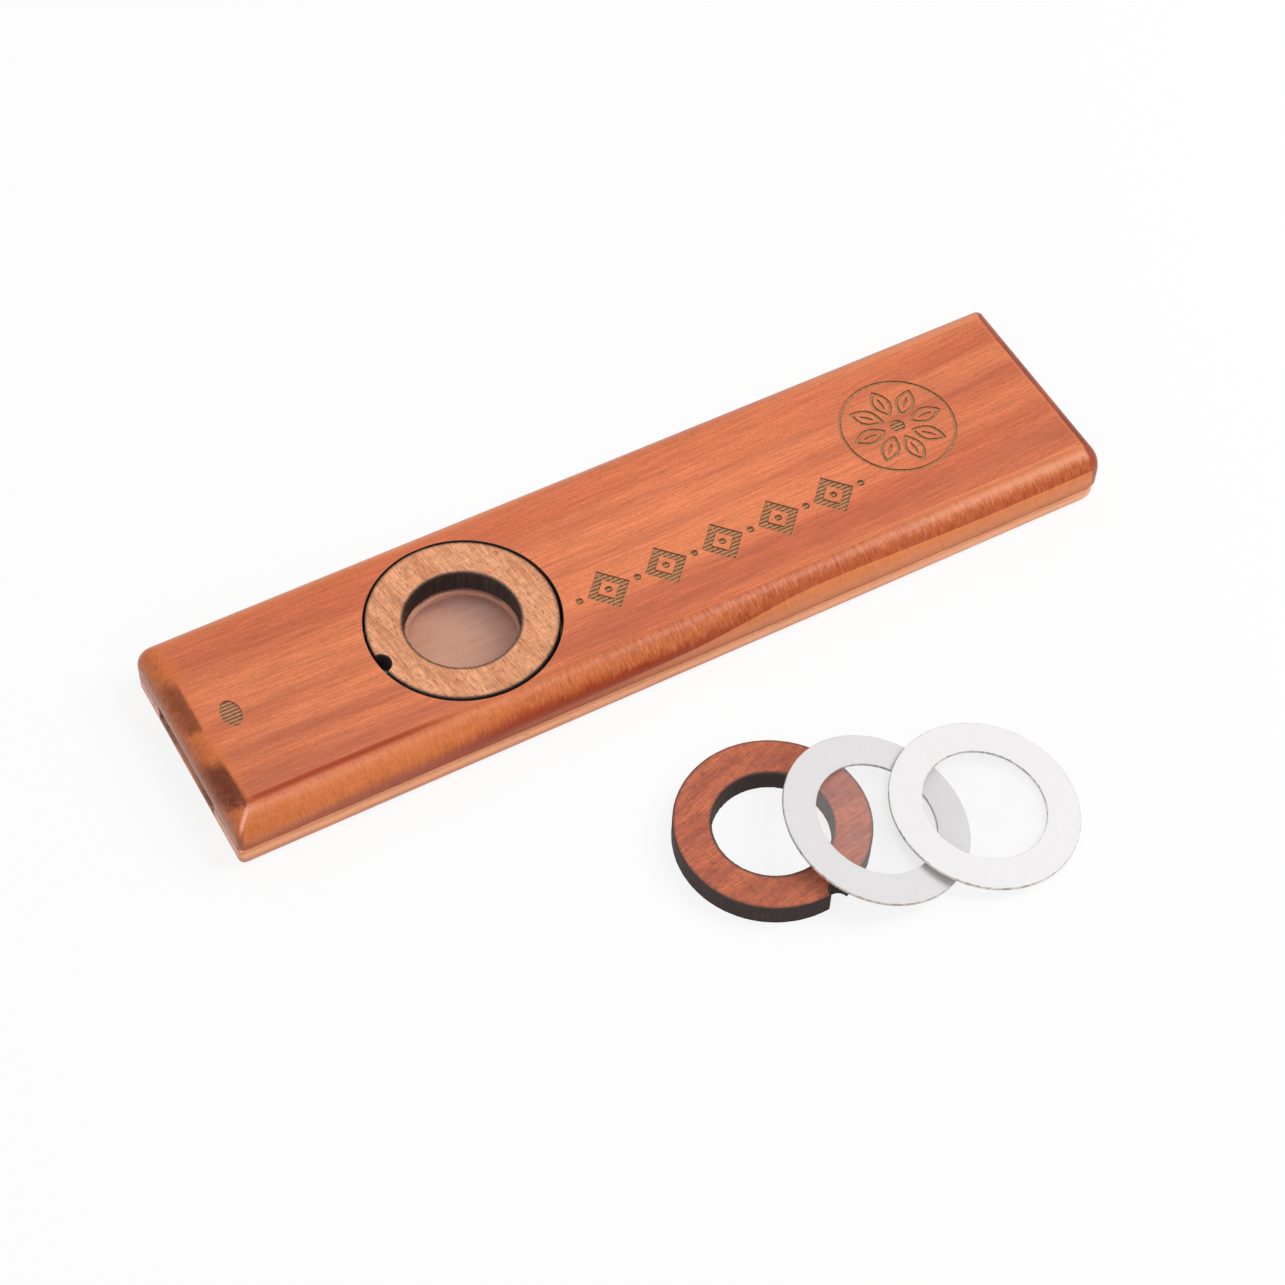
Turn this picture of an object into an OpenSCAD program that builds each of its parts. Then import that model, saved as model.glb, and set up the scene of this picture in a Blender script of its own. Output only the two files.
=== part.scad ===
// Flat wooden kazoo made of two glued layers, with a membrane under a press-in ring,
// and its spare ring and two spare membranes lying in front of it.
// Origin: centre of the underside. +X runs from the mouth end to the far end, +Z is up.

/* [Body] */
// Length of the body
body_l = 123.4; // [110:0.1:140]
// Width of the body
body_w = 31; // [29:0.1:36]
// Thickness of the base plate at the mouth end
base_t = 3; // [2.4:0.05:4]
// Thickness of the upper shell at the mouth end
shell_t = 4.6; // [4.4:0.05:6.5]
// Thickness of the glue between them
glue_t = 0.15; // [0.05:0.05:0.3]
// How far the glue stays back from the outside
glue_inset = 0.1; // [0.05:0.05:0.4]
// How much lower the glue line lies at the far end than at the mouth end
glue_drop = 0.65; // [0:0.05:1]
// Radius of the rounded upper edge
round_r = 3.2; // [2:0.1:3.8]
// Radius of the rounded upper edge at the far end
far_round_r = 1.9; // [1:0.1:3.8]
// Small step between the flat top and the rounded edge
round_step = 0.2; // [0.1:0.05:0.5]
// Radius of the upright corners
corner_r = 0.9; // [0.4:0.1:2]
// Radius of the eased lower edge
base_edge_r = 0.8; // [0.4:0.1:1.5]

/* [Air channel] */
// Width of the channel and of the mouth slot
channel_w = 16; // [15:0.1:20]
// Depth of the channel in the upper shell
channel_up = 0.5; // [0.3:0.05:0.6]
// Depth of the channel in the base plate
channel_down = 1.5; // [1:0.05:1.7]
// Height of the mouth slot above the glue
mouth_up = 0.5; // [0.3:0.05:1.6]
// Depth of the mouth slot below the glue
mouth_down = 1.9; // [1.8:0.05:2.1]
// Length over which the mouth slot narrows to the channel
mouth_l = 9; // [5:0.5:14]

/* [Retaining ring] */
// Distance from the mouth end to the middle of the ring
ring_x = 37.6; // [34:0.1:44]
// Outer diameter of the retaining ring
ring_d = 24.2; // [22:0.1:25]
// Diameter of its sound hole
hole_d = 14.8; // [12:0.1:16]
// Thickness of the retaining ring
ring_t = 3.2; // [2.6:0.05:3.3]
// Gap between the ring and its recess, all round
ring_gap = 0.45; // [0.2:0.05:0.6]
// Radius of the prying notch in the ring's edge
notch_r = 1.35; // [0.8:0.05:2]
// Direction of the notch of the ring in the body, from +X
notch_turn = 187; // [0:1:359]

/* [Membrane] */
// How far the membrane stays back from the ring's edge, all round
frame_inset = 0.1; // [0:0.05:0.6]
// Diameter of the opening in the frame
frame_hole_d = 15.6; // [14:0.1:17]
// Thickness of the frame
frame_t = 0.4; // [0.25:0.05:0.5]
// Thickness of the film
film_t = 0.06; // [0.04:0.01:0.1]
// Diameter of the hole in the ledge under the membrane
ledge_hole_d = 14; // [11:0.1:14.8]

/* [Marks] */
// Depth of the laser marks
mark_depth = 0.25; // [0.1:0.05:0.35]
// Width of the oval mark, along the body
oval_w = 2.6; // [2:0.1:4]
// Length of the oval mark, across the body
oval_l = 4; // [2.5:0.1:6]
// Distance from the mouth end to the middle of the oval mark
oval_x = 6.5; // [5.5:0.1:9]
// How far the band of lozenges lies towards the near side of the middle
band_y = 4.4; // [0:0.1:6]
// Bare wood left between the band and the recess, and between the band and the rosette
band_margin = 1.2; // [0.8:0.1:3]
// Distance between lozenges
lozenge_pitch = 8.2; // [7:0.1:12]
// Length of one lozenge, along the body
lozenge_l = 6; // [4:0.1:6.4]
// Width of one lozenge, across the body
lozenge_w = 6.4; // [4:0.1:8]
// Width of a lozenge's line
lozenge_line = 1.1; // [0.6:0.05:1.3]
// Radius of the seeds in and between the lozenges
seed_r = 0.5; // [0.3:0.05:0.6]
// Distance from the far end to the middle of the rosette
rosette_end = 21.4; // [13:0.1:30]
// How far the rosette lies towards the far side of the middle
rosette_y = 1.6; // [0:0.1:3]
// Radius of the rosette's rim
rosette_r = 7.8; // [6:0.1:8.6]
// Width of the rosette's rim
rosette_rim = 0.5; // [0.3:0.05:1]
// Number of petals
petal_count = 8; // [5:1:9]
// Radius of the rosette's eye
eye_r = 1; // [0.6:0.05:1.4]
// Width of one petal
petal_w = 2.3; // [1.2:0.1:2.6]
// Gap between the petals and the eye, and between the petals and the rim
petal_gap = 0.8; // [0.5:0.05:1.2]

/* [Spare parts] */
// Place of the spare ring along the body, from the body's middle
spare_x = -3.7; // [-20:0.1:10]
// Clear distance between the body and the spare ring
spare_away = 13.9; // [6:0.1:25]
// Direction of the spare ring's notch, from +X
spare_notch_turn = 281; // [0:1:359]
// Direction in which the spare membranes are laid out, from +X
lean_turn = -26.5; // [-45:0.1:0]
// From the spare ring's edge to where membrane A meets the ground
lean_run = 11.9; // [10:0.1:14]
// From where membrane A meets the ground to where membrane B does
lean_step = 13.9; // [11:0.1:16]
// Sideways shift of membrane B
lean_shift = 2.7; // [0:0.1:4]
// Clearance where one loose piece leans on another
lean_gap = 0.12; // [0.05:0.01:0.2]

/* [Hidden] */
$fn = 96;
// Overrun of every cut past the face that it opens
over = 1;
glue_z = base_t;
shell_z = base_t + glue_t;
body_h = base_t + glue_t + shell_t;
mouth_end = -body_l / 2;
recess_r = ring_d / 2 + ring_gap;
frame_z = body_h - ring_t - frame_t;
ledge_z = frame_z - film_t;
hole_x = mouth_end + ring_x;
// Height of the glue line against its height at the mouth end
function fall(x) = -glue_drop * (x - mouth_end) / body_l;
rosette_x = body_l / 2 - rosette_end;
// The band fills the top between the recess and the rosette with as many lozenges as fit
band_start = hole_x + recess_r + band_margin;
band_end = rosette_x - rosette_r - band_margin;
lozenge_count = floor((band_end - band_start) / lozenge_pitch);
disc_d = ring_d - 2 * frame_inset;
disc_r = disc_d / 2;
disc_t = frame_t + film_t;
spare_y = -(body_w / 2 + spare_away + ring_d / 2);
// Membrane A leans on the upper edge of the spare ring
tilt_a = atan((ring_t + lean_gap) / lean_run);
centre_a = ring_d / 2 + lean_run - disc_r * cos(tilt_a);
// The raised edge of membrane B rests on the upper face of membrane A
tilt_b = tilt_a + asin((disc_t + lean_gap * cos(tilt_a) - lean_step * sin(tilt_a)) / disc_d);
centre_b = ring_d / 2 + lean_run + lean_step - disc_r * cos(tilt_b);

// Plan outline of the body, drawn in by an inset, with rounded corners
module body_plan(inset) {
    l = body_l - 2 * inset;
    w = body_w - 2 * inset;
    square([l - 2 * corner_r, w], center = true);
    square([l, w - 2 * corner_r], center = true);
    for (sx = [-1, 1], sy = [-1, 1])
        translate([sx * (l / 2 - corner_r), sy * (w / 2 - corner_r)]) circle(corner_r);
}

// One half of a view of the upper shell: a flat top, a small step and a quarter round
module half_profile(half_width, r) {
    round_y = body_h - round_step - r;
    square([half_width - r, body_h]);
    square([half_width, round_y]);
    translate([half_width - r, round_y]) circle(r);
}

module shell_profile(width, left_r, right_r) {
    mirror([1, 0]) half_profile(width / 2, left_r);
    half_profile(width / 2, right_r);
}

// End view of the base plate, with both lower edges eased
module base_profile(width) {
    translate([-width / 2 + base_edge_r, 0]) square([width - 2 * base_edge_r, shell_z]);
    translate([-width / 2, base_edge_r]) square([width, shell_z - base_edge_r]);
    for (side = [-1, 1]) translate([side * (width / 2 - base_edge_r), base_edge_r]) circle(base_edge_r);
}

// Side view of all that lies below a plane that falls with the glue line
module below(height) {
    start = mouth_end - over;
    end = body_l / 2 + over;
    polygon([[start, -over], [end, -over], [end, height + fall(end)], [start, height + fall(start)]]);
}

// A block with the same edge on all four sides: child 0 is the end view, child 1 the side view
module edged_block(low, height) {
    intersection() {
        translate([mouth_end, 0, 0]) rotate([90, 0, 90]) linear_extrude(body_l) children(0);
        translate([0, body_w / 2, 0]) rotate([90, 0, 0]) linear_extrude(body_w) children(1);
        translate([0, 0, low]) linear_extrude(height) body_plan(0);
    }
}

// The air channel, open at both ends and flared at the mouth end. It falls with the glue line
module air_channel() {
    far_end = body_l / 2 + over;
    flare_end = mouth_end + mouth_l;
    floor_z = glue_z - channel_down;
    roof_z = shell_z + channel_up;
    translate([0, channel_w / 2, 0]) rotate([90, 0, 0]) linear_extrude(channel_w) polygon([
        [mouth_end - over, glue_z - mouth_down], [mouth_end, glue_z - mouth_down],
        [flare_end, floor_z + fall(flare_end)], [far_end, floor_z + fall(far_end)],
        [far_end, roof_z + fall(far_end)], [flare_end, roof_z + fall(flare_end)],
        [mouth_end, shell_z + mouth_up], [mouth_end - over, shell_z + mouth_up]]);
}

module oval() {
    straight = oval_l - oval_w;
    square([oval_w, straight], center = true);
    for (side = [-1, 1]) translate([0, side * straight / 2]) circle(d = oval_w);
}

module lozenge(length, width) {
    polygon([[-length / 2, 0], [0, -width / 2], [length / 2, 0], [0, width / 2]]);
}

// A lozenge drawn as a line of even width, with a seed in the middle
module drawn_lozenge() {
    // The sharper a corner is, the more a line of even width takes off its diagonal
    line_diagonal = 2 * lozenge_line * norm([lozenge_l, lozenge_w]);
    difference() {
        lozenge(lozenge_l, lozenge_w);
        lozenge(lozenge_l - line_diagonal / lozenge_w, lozenge_w - line_diagonal / lozenge_l);
    }
    circle(seed_r);
}

module lozenge_band() {
    first = -(lozenge_count - 1) / 2;
    for (i = [0 : lozenge_count - 1]) translate([(first + i) * lozenge_pitch, 0]) drawn_lozenge();
    for (i = [0 : lozenge_count]) translate([(first + i - 1 / 2) * lozenge_pitch, 0]) circle(seed_r);
}

module rosette() {
    petal_in = eye_r + petal_gap;
    petal_out = rosette_r - rosette_rim - petal_gap;
    difference() {
        circle(rosette_r);
        circle(rosette_r - rosette_rim);
    }
    circle(eye_r);
    for (i = [0 : petal_count - 1]) rotate(i * 360 / petal_count)
        translate([(petal_in + petal_out) / 2, 0]) lozenge(petal_out - petal_in, petal_w);
}

module laser_marks() {
    translate([0, 0, body_h - mark_depth]) linear_extrude(mark_depth + over) {
        translate([mouth_end + oval_x, 0]) oval();
        translate([(band_start + band_end) / 2, -band_y]) lozenge_band();
        translate([rosette_x, rosette_y]) rosette();
    }
}

// A wooden ring with a sound hole and a half-round prying notch in its edge
module notched_ring(turn) {
    difference() {
        cylinder(h = ring_t, d = ring_d);
        translate([0, 0, -over]) cylinder(h = ring_t + 2 * over, d = hole_d);
        rotate(turn) translate([ring_d / 2, 0, -over]) cylinder(h = ring_t + 2 * over, r = notch_r);
    }
}

module disc_frame() {
    translate([0, 0, film_t]) difference() {
        cylinder(h = frame_t, d = disc_d);
        translate([0, 0, -over]) cylinder(h = frame_t + 2 * over, d = frame_hole_d);
    }
}

module disc_film() {
    cylinder(h = film_t, d = disc_d);
}

module at_hole(z) {
    translate([hole_x, 0, z]) children();
}

module at_spare_ring() {
    translate([spare_x, spare_y, 0]) children();
}

// Stands a disc on its lower edge, raised towards the spare ring
module leaning(centre, shift, tilt) {
    at_spare_ring() rotate(lean_turn)
        translate([centre, shift, disc_r * sin(tilt)]) rotate([0, tilt, 0]) children();
}

module upper_shell() color("#D97B58") difference() {
    edged_block(shell_z - glue_drop, shell_t + glue_drop) {
        shell_profile(body_w, round_r, round_r);
        difference() {
            shell_profile(body_l, round_r, far_round_r);
            below(shell_z);
        }
    }
    at_hole(ledge_z) cylinder(h = body_h, r = recess_r);
    at_hole(0) cylinder(h = body_h, d = ledge_hole_d);
    air_channel();
    laser_marks();
}

module base_plate() color("#E39B70") difference() {
    edged_block(0, base_t) {
        base_profile(body_w);
        intersection() {
            base_profile(body_l);
            below(glue_z);
        }
    }
    air_channel();
}

module glue_line() color("#4A2A1C") difference() {
    intersection() {
        translate([0, 0, glue_z - glue_drop]) linear_extrude(glue_t + glue_drop) body_plan(glue_inset);
        translate([0, body_w / 2, 0]) rotate([90, 0, 0]) linear_extrude(body_w) difference() {
            below(shell_z);
            below(glue_z);
        }
    }
    air_channel();
}

module retaining_ring() color("#DE946B") at_hole(body_h - ring_t) notched_ring(notch_turn);

module membrane_frame() color("#E9E8E8") at_hole(ledge_z) disc_frame();

module membrane_film() color("#B98A76", 0.6) at_hole(ledge_z) disc_film();

module spare_retaining_ring() color("#B8684C") at_spare_ring() notched_ring(spare_notch_turn);

module spare_frame_a() color("#E6E4E5") leaning(centre_a, 0, tilt_a) disc_frame();

module spare_film_a() color("#E8ECEE", 0.4) leaning(centre_a, 0, tilt_a) disc_film();

module spare_frame_b() color("#EEECED") leaning(centre_b, lean_shift, tilt_b) disc_frame();

module spare_film_b() color("#E8ECEE", 0.4) leaning(centre_b, lean_shift, tilt_b) disc_film();

upper_shell();
base_plate();
glue_line();
retaining_ring();
membrane_frame();
membrane_film();
spare_retaining_ring();
spare_frame_a();
spare_film_a();
spare_frame_b();
spare_film_b();
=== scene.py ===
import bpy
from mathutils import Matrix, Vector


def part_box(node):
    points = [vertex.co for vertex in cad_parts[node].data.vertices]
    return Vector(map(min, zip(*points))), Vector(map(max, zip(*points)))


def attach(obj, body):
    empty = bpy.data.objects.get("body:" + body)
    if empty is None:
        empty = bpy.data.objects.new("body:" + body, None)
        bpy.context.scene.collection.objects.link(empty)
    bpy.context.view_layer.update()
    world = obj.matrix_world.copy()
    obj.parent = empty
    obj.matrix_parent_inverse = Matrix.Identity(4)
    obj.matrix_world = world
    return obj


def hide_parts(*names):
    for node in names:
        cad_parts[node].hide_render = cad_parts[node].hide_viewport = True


bl_info = {
    "name": "Flat wooden kazoo",
    "version": (1, 0, 0),
    "blender": (4, 5, 0),
    "location": "3D View > Sidebar > Kazoo",
    "description": "Dresses a two-layer wooden kazoo, its ring, its membranes and its spares",
    "category": "Object",
}

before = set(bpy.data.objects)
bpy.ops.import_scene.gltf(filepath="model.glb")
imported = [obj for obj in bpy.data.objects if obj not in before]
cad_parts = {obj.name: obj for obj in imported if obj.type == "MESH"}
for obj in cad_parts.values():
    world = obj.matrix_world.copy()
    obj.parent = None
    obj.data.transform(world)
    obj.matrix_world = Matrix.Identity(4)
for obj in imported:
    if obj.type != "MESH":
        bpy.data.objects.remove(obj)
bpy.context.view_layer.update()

import math
import random
from types import SimpleNamespace

import bmesh
import bpy
from bpy.props import FloatProperty, FloatVectorProperty, IntProperty, PointerProperty
from mathutils import Matrix, Vector

MM = 0.001
# The four sides of the body, in the order in which its outline is walked
NEAR, RIGHT, FAR, LEFT = range(4)

# Values that a user would change


def linear(code):
    """An sRGB hex colour as the linear numbers that Blender's colour sockets take."""
    parts = [int(code[i : i + 2], 16) / 255 for i in (0, 2, 4)]
    return tuple(c / 12.92 if c <= 0.04045 else ((c + 0.055) / 1.055) ** 2.4 for c in parts)


def number(name, description, value, **kind):
    """A number property. kind gives its unit, subtype and limits."""
    return FloatProperty(name=name, description=description, default=value, **kind)


def length(name, description, millimetres):
    """A length property, given in millimetres and held in metres."""
    return number(name, description, millimetres * MM, precision=6, subtype="DISTANCE", unit="LENGTH")


def angle(name, description, degrees):
    """An angle property, given in degrees and held in radians."""
    return number(name, description, math.radians(degrees), subtype="ANGLE")


def colour(name, description, code):
    """A colour property, given as sRGB hex."""
    return FloatVectorProperty(
        name=name, description=description, default=linear(code), size=3, min=0, max=1, subtype="COLOR"
    )


class InMillimetres:
    """Reads a group's lengths in millimetres, in which every mesh is drawn."""

    def __init__(self, group):
        self.group = group

    def __getattr__(self, name):
        return getattr(self.group, name) / MM


class KazooBodySizes(bpy.types.PropertyGroup):
    crease_near_left: length("Near crease, mouth end", "Inset of the near crease at the mouth end", 3.75)
    crease_near: length("Near crease", "Inset of the near crease from the middle to the far end", 3.3)
    crease_far: length("Far crease", "Inset of the far crease", 3.2)
    crease_left_near: length("Mouth crease, near side", "Inset of the mouth crease at the near side", 3.45)
    crease_left: length("Mouth crease", "Inset of the mouth end's crease from the middle on", 2.9)
    crease_right: length("Far end crease", "Inset of the crease at the far end", 1.8)
    round_height: length("Round-over height", "Height of the rounded upper edge", 3.2)
    round_height_right: length("Round-over height, far end", "Height of the rounding at the far end", 1.9)
    step_left: length("Step at the mouth end", "Height of the step beside the flat top", 0.001)
    step_right: length("Step at the far end", "Height of the step beside the flat top", 0.16)
    corner_near_left: length("Near left corner", "Radius of the crisp upright corner", 0.8)
    corner_near_right: length("Near right corner", "Radius of the most worn upright corner", 2.0)
    corner_far_right: length("Far right corner", "Radius of the upright corner", 0.8)
    corner_far_left: length("Far left corner", "Radius of the upright corner", 1.7)
    base_corner_right: length("Base near right corner", "Radius of the base plate's most worn corner", 2.6)
    crease_corner: length("Crease corner", "Radius of the flat top's corners", 0.15)
    crease_corner_right: length("Worn crease corner", "Radius of the flat top's near right corner", 1.1)
    base_edge: length("Eased lower edge", "Radius of the base plate's lower edge", 0.8)
    eased: length("Eased joint edge", "Width of the sanded edge beside the glue line", 0.09)
    glue_back: length("Glue set-back", "How far the glue line stays back from the sides", 0.13)
    channel_half: length("Channel half width", "Half the width of the air channel", 8)
    channel_up: length("Channel in the shell", "Depth of the channel in the upper shell", 0.5)
    channel_down: length("Channel in the base", "Depth of the channel in the base plate", 1.5)
    mouth_down: length("Mouth slot in the base", "Depth of the mouth slot below the glue", 1.9)
    mouth_length: length("Mouth slot length", "Length over which the mouth slot narrows", 9)


class KazooRingSizes(bpy.types.PropertyGroup):
    gap: length("Ring gap", "Gap between the ring and its recess", 0.3)
    recess_shift_x: length("Recess shift along", "How far the recess sits off the ring's middle", 0.03)
    recess_shift_y: length("Recess shift across", "How far the recess sits off the ring's middle", -0.1)
    ledge_hole: length("Ledge hole radius", "Radius of the hole under the membrane", 7)
    hole: length("Sound hole radius", "Radius of a ring's sound hole", 7.3)
    hole_shift: length("Sound hole shift", "How far the sound hole sits off the ring's middle", -0.1)
    notch: length("Notch radius", "Radius of a ring's prying notch", 1.38)
    notch_turn: angle("Notch direction", "Direction of the notch of the ring in the body", 187)
    spare_notch_turn: angle("Spare notch direction", "Direction of the spare ring's notch", 281)
    grain_turn: angle("Ring grain", "Grain direction of the ring in the body", 98)
    spare_grain_turn: angle("Spare ring grain", "Grain direction of the spare ring", 12)
    edge: length("Cut edge", "Width of the small bevel that the laser leaves", 0.1)
    ripple: length("Cut ripple", "Depth of the upright lines on a laser-cut wall", 0.025)
    frame_hole: length("Frame opening radius", "Radius of the opening in a membrane's frame", 7.8)
    frame_edge: length("Frame edge", "Width of the eased edge of a membrane's card frame", 0.04)
    film: length("Film thickness", "Thickness of the film", 0.06)
    free: length("Free film radius", "Radius within which the film can crinkle", 7.1)
    crinkle: length("Film crinkle", "Height of the film's crinkles", 0.07)
    haze: number("Film haze", "Share of the light that the film's haze stops", 0.08, min=0, max=1)


class KazooMarkSizes(bpy.types.PropertyGroup):
    depth: length("Mark depth", "Depth of the laser marks", 0.2)
    line_depth: length("Raster line depth", "Depth of a raster line below the mark's floor", 0.12)
    line_pitch: length("Raster line spacing", "Distance between two raster lines", 0.52)
    line_width: length("Raster line width", "Width of one raster line", 0.16)
    oval_x: length("Oval place", "Place of the oval mark along the body", -55.2)
    oval_y: length("Oval offset", "Place of the oval mark across the body", 0.3)
    oval_wide: length("Oval width", "Size of the oval mark along the body", 2.6)
    oval_long: length("Oval length", "Size of the oval mark across the body", 4.0)
    band_x: length("Band place", "Place of the band's middle along the body", 10.475)
    band_y: length("Band offset", "Place of the band across the body", -4.4)
    lozenge_pitch: length("Lozenge spacing", "Distance between lozenges", 8.2)
    lozenge_long: length("Lozenge length", "Size of a lozenge along the body", 6.0)
    lozenge_wide: length("Lozenge width", "Size of a lozenge across the body", 6.4)
    lozenge_line: length("Lozenge line", "Width of a lozenge's line", 1.1)
    seed: length("Seed radius", "Radius of the seeds in and between the lozenges", 0.5)
    rosette_x: length("Rosette place", "Place of the rosette's middle along the body", 40.3)
    rosette_y: length("Rosette offset", "Place of the rosette across the body", 1.6)
    rosette: length("Rosette radius", "Radius of the rosette's rim", 7.8)
    rosette_line: length("Rosette line", "Width of the rosette's lines", 0.45)
    eye: length("Rosette eye", "Radius of the rosette's eye", 1.0)
    petal_wide: length("Petal width", "Width of one petal", 2.6)
    petal_gap: length("Petal gap", "Gap between a petal and the eye or the rim", 0.8)
    lozenges: IntProperty(name="Lozenges", description="Number of lozenges in the band", default=5, min=1)
    petals: IntProperty(name="Petals", description="Number of petals in the rosette", default=8, min=3)


class KazooColours(bpy.types.PropertyGroup):
    shell_light: colour("Shell, light", "Orange wood of the upper shell", "EA8658")
    shell_red: colour("Shell, red", "Redder wood of the upper shell", "D67049")
    heartwood: colour("Heartwood streak", "Purple-brown streaks in the upper shell", "A85440")
    pore: colour("Pores", "Dark pores of the reddish wood", "8A4028")
    # Partly painted: the rounded edge's orange also stands for the darker surroundings that it mirrors
    glow: colour("Rounded edge", "Oiled orange of the rounded edge", "DC7A3C")
    glow_red: colour("Rounded edge, red", "Redder orange of the rounded edge towards the far end", "C86A3A")
    stroke: colour("Cross strokes", "Dark strokes where the round-over cuts the fibres", "9A4418")
    # Partly painted: the light strokes are also pale highlights, and this colour paints the highlights on and
    # beside the near crease
    pale_strokes_and_highlight: colour("Light strokes", "Light strokes where the round-over cuts the fibres", "EE9866")
    # Painted shade: the dark band along the sides, which stands for the dark room's reflection, and the
    # shadow line under the near crease
    painted_dark_red: colour("Heartwood edge", "Dark growth ring along the side", "A23402")
    heart_side: colour("Heartwood side", "Mauve-brown wood of the side near the mouth end", "9E4428")
    # Partly painted: the pale side below the dark band also stands for the white floor's reflection
    pale_side: colour("Sapwood side", "Light tan wood of the side towards the far end", "F09054")
    end_dark: colour("End grain, dark", "Soaked end grain of the body", "722A00")
    end_brown: colour("End grain, brown", "Oiled end grain of the body", "D8743C")
    # Partly painted: the ends' grey lower part also stands for the white floor's reflection
    end_grey: colour("End grain, grey", "Dry end grain low on the ends", "AC6240")
    base_light: colour("Base, light", "Light wood of the base plate", "F6A87A")
    base_red: colour("Base, red", "Redder wood of the base plate", "E2885C")
    base_cream: colour("Base, cream", "Pale stripe along the side of the base plate", "FEB886")
    base_low: colour("Base, low", "Pinker wood low on the side of the base plate", "D08064")
    channel_light: colour("Channel, light", "Bare routed wood of the air channel", "E89E72")
    # Painted shade inside the mouth slot; the spare ring's pores take this colour too
    channel_dark: colour("Channel, dark", "Routed wood browned near the mouth slot", "6A3A26")
    ring_light: colour("Ring, light", "Tan wood of the ring in the body", "F0A879")
    ring_dark: colour("Ring, dark", "Darker figure of the ring in the body", "D48A5C")
    spare_light: colour("Spare ring, light", "Red-brown wood of the spare ring", "CC6A42")
    spare_dark: colour("Spare ring, dark", "Darker figure of the spare ring", "AC5234")
    char: colour("Charred wall", "Wood charred by the laser", "22130F")
    char_light: colour("Charred wall, light", "Lighter lines on a charred wall", "4A322A")
    mark_light: colour("Mark floor", "Floor of a laser mark", "C88A58")
    mark_dark: colour("Mark line", "Raster lines and walls of a laser mark", "5E3820")
    glue: colour("Glue", "Cured glue between the layers", "6A3824")
    card: colour("Card", "Coated card of the frame in the body and of the upper spare", "EAE8E9")
    card_grey: colour("Card, grey", "Greyer card of the lower spare frame", "DAD8D9")
    card_burnt: colour("Card, burnt", "Card edge browned by the laser", "A68A5E")
    card_cut: colour("Card, cut", "Cooler grey of a clean cut through the card", "9290A0")
    film: colour("Film", "Haze of the clear film", "F0ECED")
    floor: colour("Floor", "Pale floor and surroundings", "FFFFFF")


class KazooStageValues(bpy.types.PropertyGroup):
    azimuth: angle("Azimuth", "Camera turn about Z", -31.4646)
    elevation: angle("Elevation", "Camera height angle", 53.3858)
    roll: angle("Roll", "Camera turn about its own axis", 2.9283)
    lens: number("Focal length", "Focal length in mm on a 36 mm sensor", 86.166, unit="CAMERA")
    sensor: number("Sensor width", "Width of the sensor in mm", 36, unit="CAMERA")
    distance: length("Camera distance", "From the camera to its target", 388.0628)
    target_x: length("Target along", "Where the camera looks, along the body", -3.2064)
    target_y: length("Target across", "Where the camera looks, across the body", -8.6891)
    lamp_power: number("Softbox power", "Power of the softbox", 2.5, unit="POWER")
    lamp_wide: length("Softbox width", "Width of the softbox's face", 300)
    lamp_tall: length("Softbox length", "Length of the softbox's face", 480)
    lamp_x: length("Softbox along", "Place of the softbox along the body", 400)
    lamp_y: length("Softbox across", "Place of the softbox across the body", -130)
    lamp_z: length("Softbox height", "Height of the softbox over the floor", 560)
    front_power: number("Front softbox power", "Power of the softbox that only gloss shows", 12, unit="POWER")
    front_wide: length("Front softbox width", "Width of the front softbox's face", 420)
    front_tall: length("Front softbox length", "Length of the front softbox's face", 830)
    front_x: length("Front softbox along", "Place of the front softbox along the body", -302)
    front_y: length("Front softbox across", "Place of the front softbox across the body", -155)
    front_z: length("Front softbox height", "Height of the front softbox over the floor", 486)
    sky_low: number("Room near the floor", "Light from low in the room", 0.5, min=0)
    sky_high: number("Room overhead", "Light from overhead", 0.62, min=0)
    paper: number("Paper", "Share of light that the floor returns", 0.92, min=0, max=1)
    floor_glow: number("Floor whiteness", "Share of the floor that shows as plain white", 0.85, min=0, max=1)
    floor_reach: length("Floor reach", "Half the side of the square floor", 3000)
    floor_drop: length("Floor drop", "How far the floor lies under the object", 0.03)


# Mesh helpers, in millimetres


def corners_of(node):
    """Lowest and highest corner of a CAD node, in millimetres."""
    return [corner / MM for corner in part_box(node)]


def draw(name, points, faces, materials=(), kinds=None):
    """A mesh object from points and faces. kinds gives each face its material's number."""
    mesh = bpy.data.meshes.new(name)
    mesh.from_pydata([tuple(p) for p in points], [], faces)
    for material in materials:
        mesh.materials.append(material)
    if kinds:
        mesh.polygons.foreach_set("material_index", kinds)
    shape = bmesh.new()
    shape.from_mesh(mesh)
    bmesh.ops.recalc_face_normals(shape, faces=shape.faces)
    shape.to_mesh(mesh)
    shape.free()
    thing = bpy.data.objects.new(name, mesh)
    bpy.context.scene.collection.objects.link(thing)
    return thing


def stacked(rows):
    """Points and faces of a closed solid that joins closed rows of points, with a cap on each end."""
    n = len(rows[0])
    points = [p for row in rows for p in row]
    faces = [tuple(reversed(range(n)))]
    for k in range(len(rows) - 1):
        for i in range(n):
            j = (i + 1) % n
            faces.append((k * n + i, k * n + j, (k + 1) * n + j, (k + 1) * n + i))
    faces.append(tuple(range((len(rows) - 1) * n, len(rows) * n)))
    return points, faces


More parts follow.
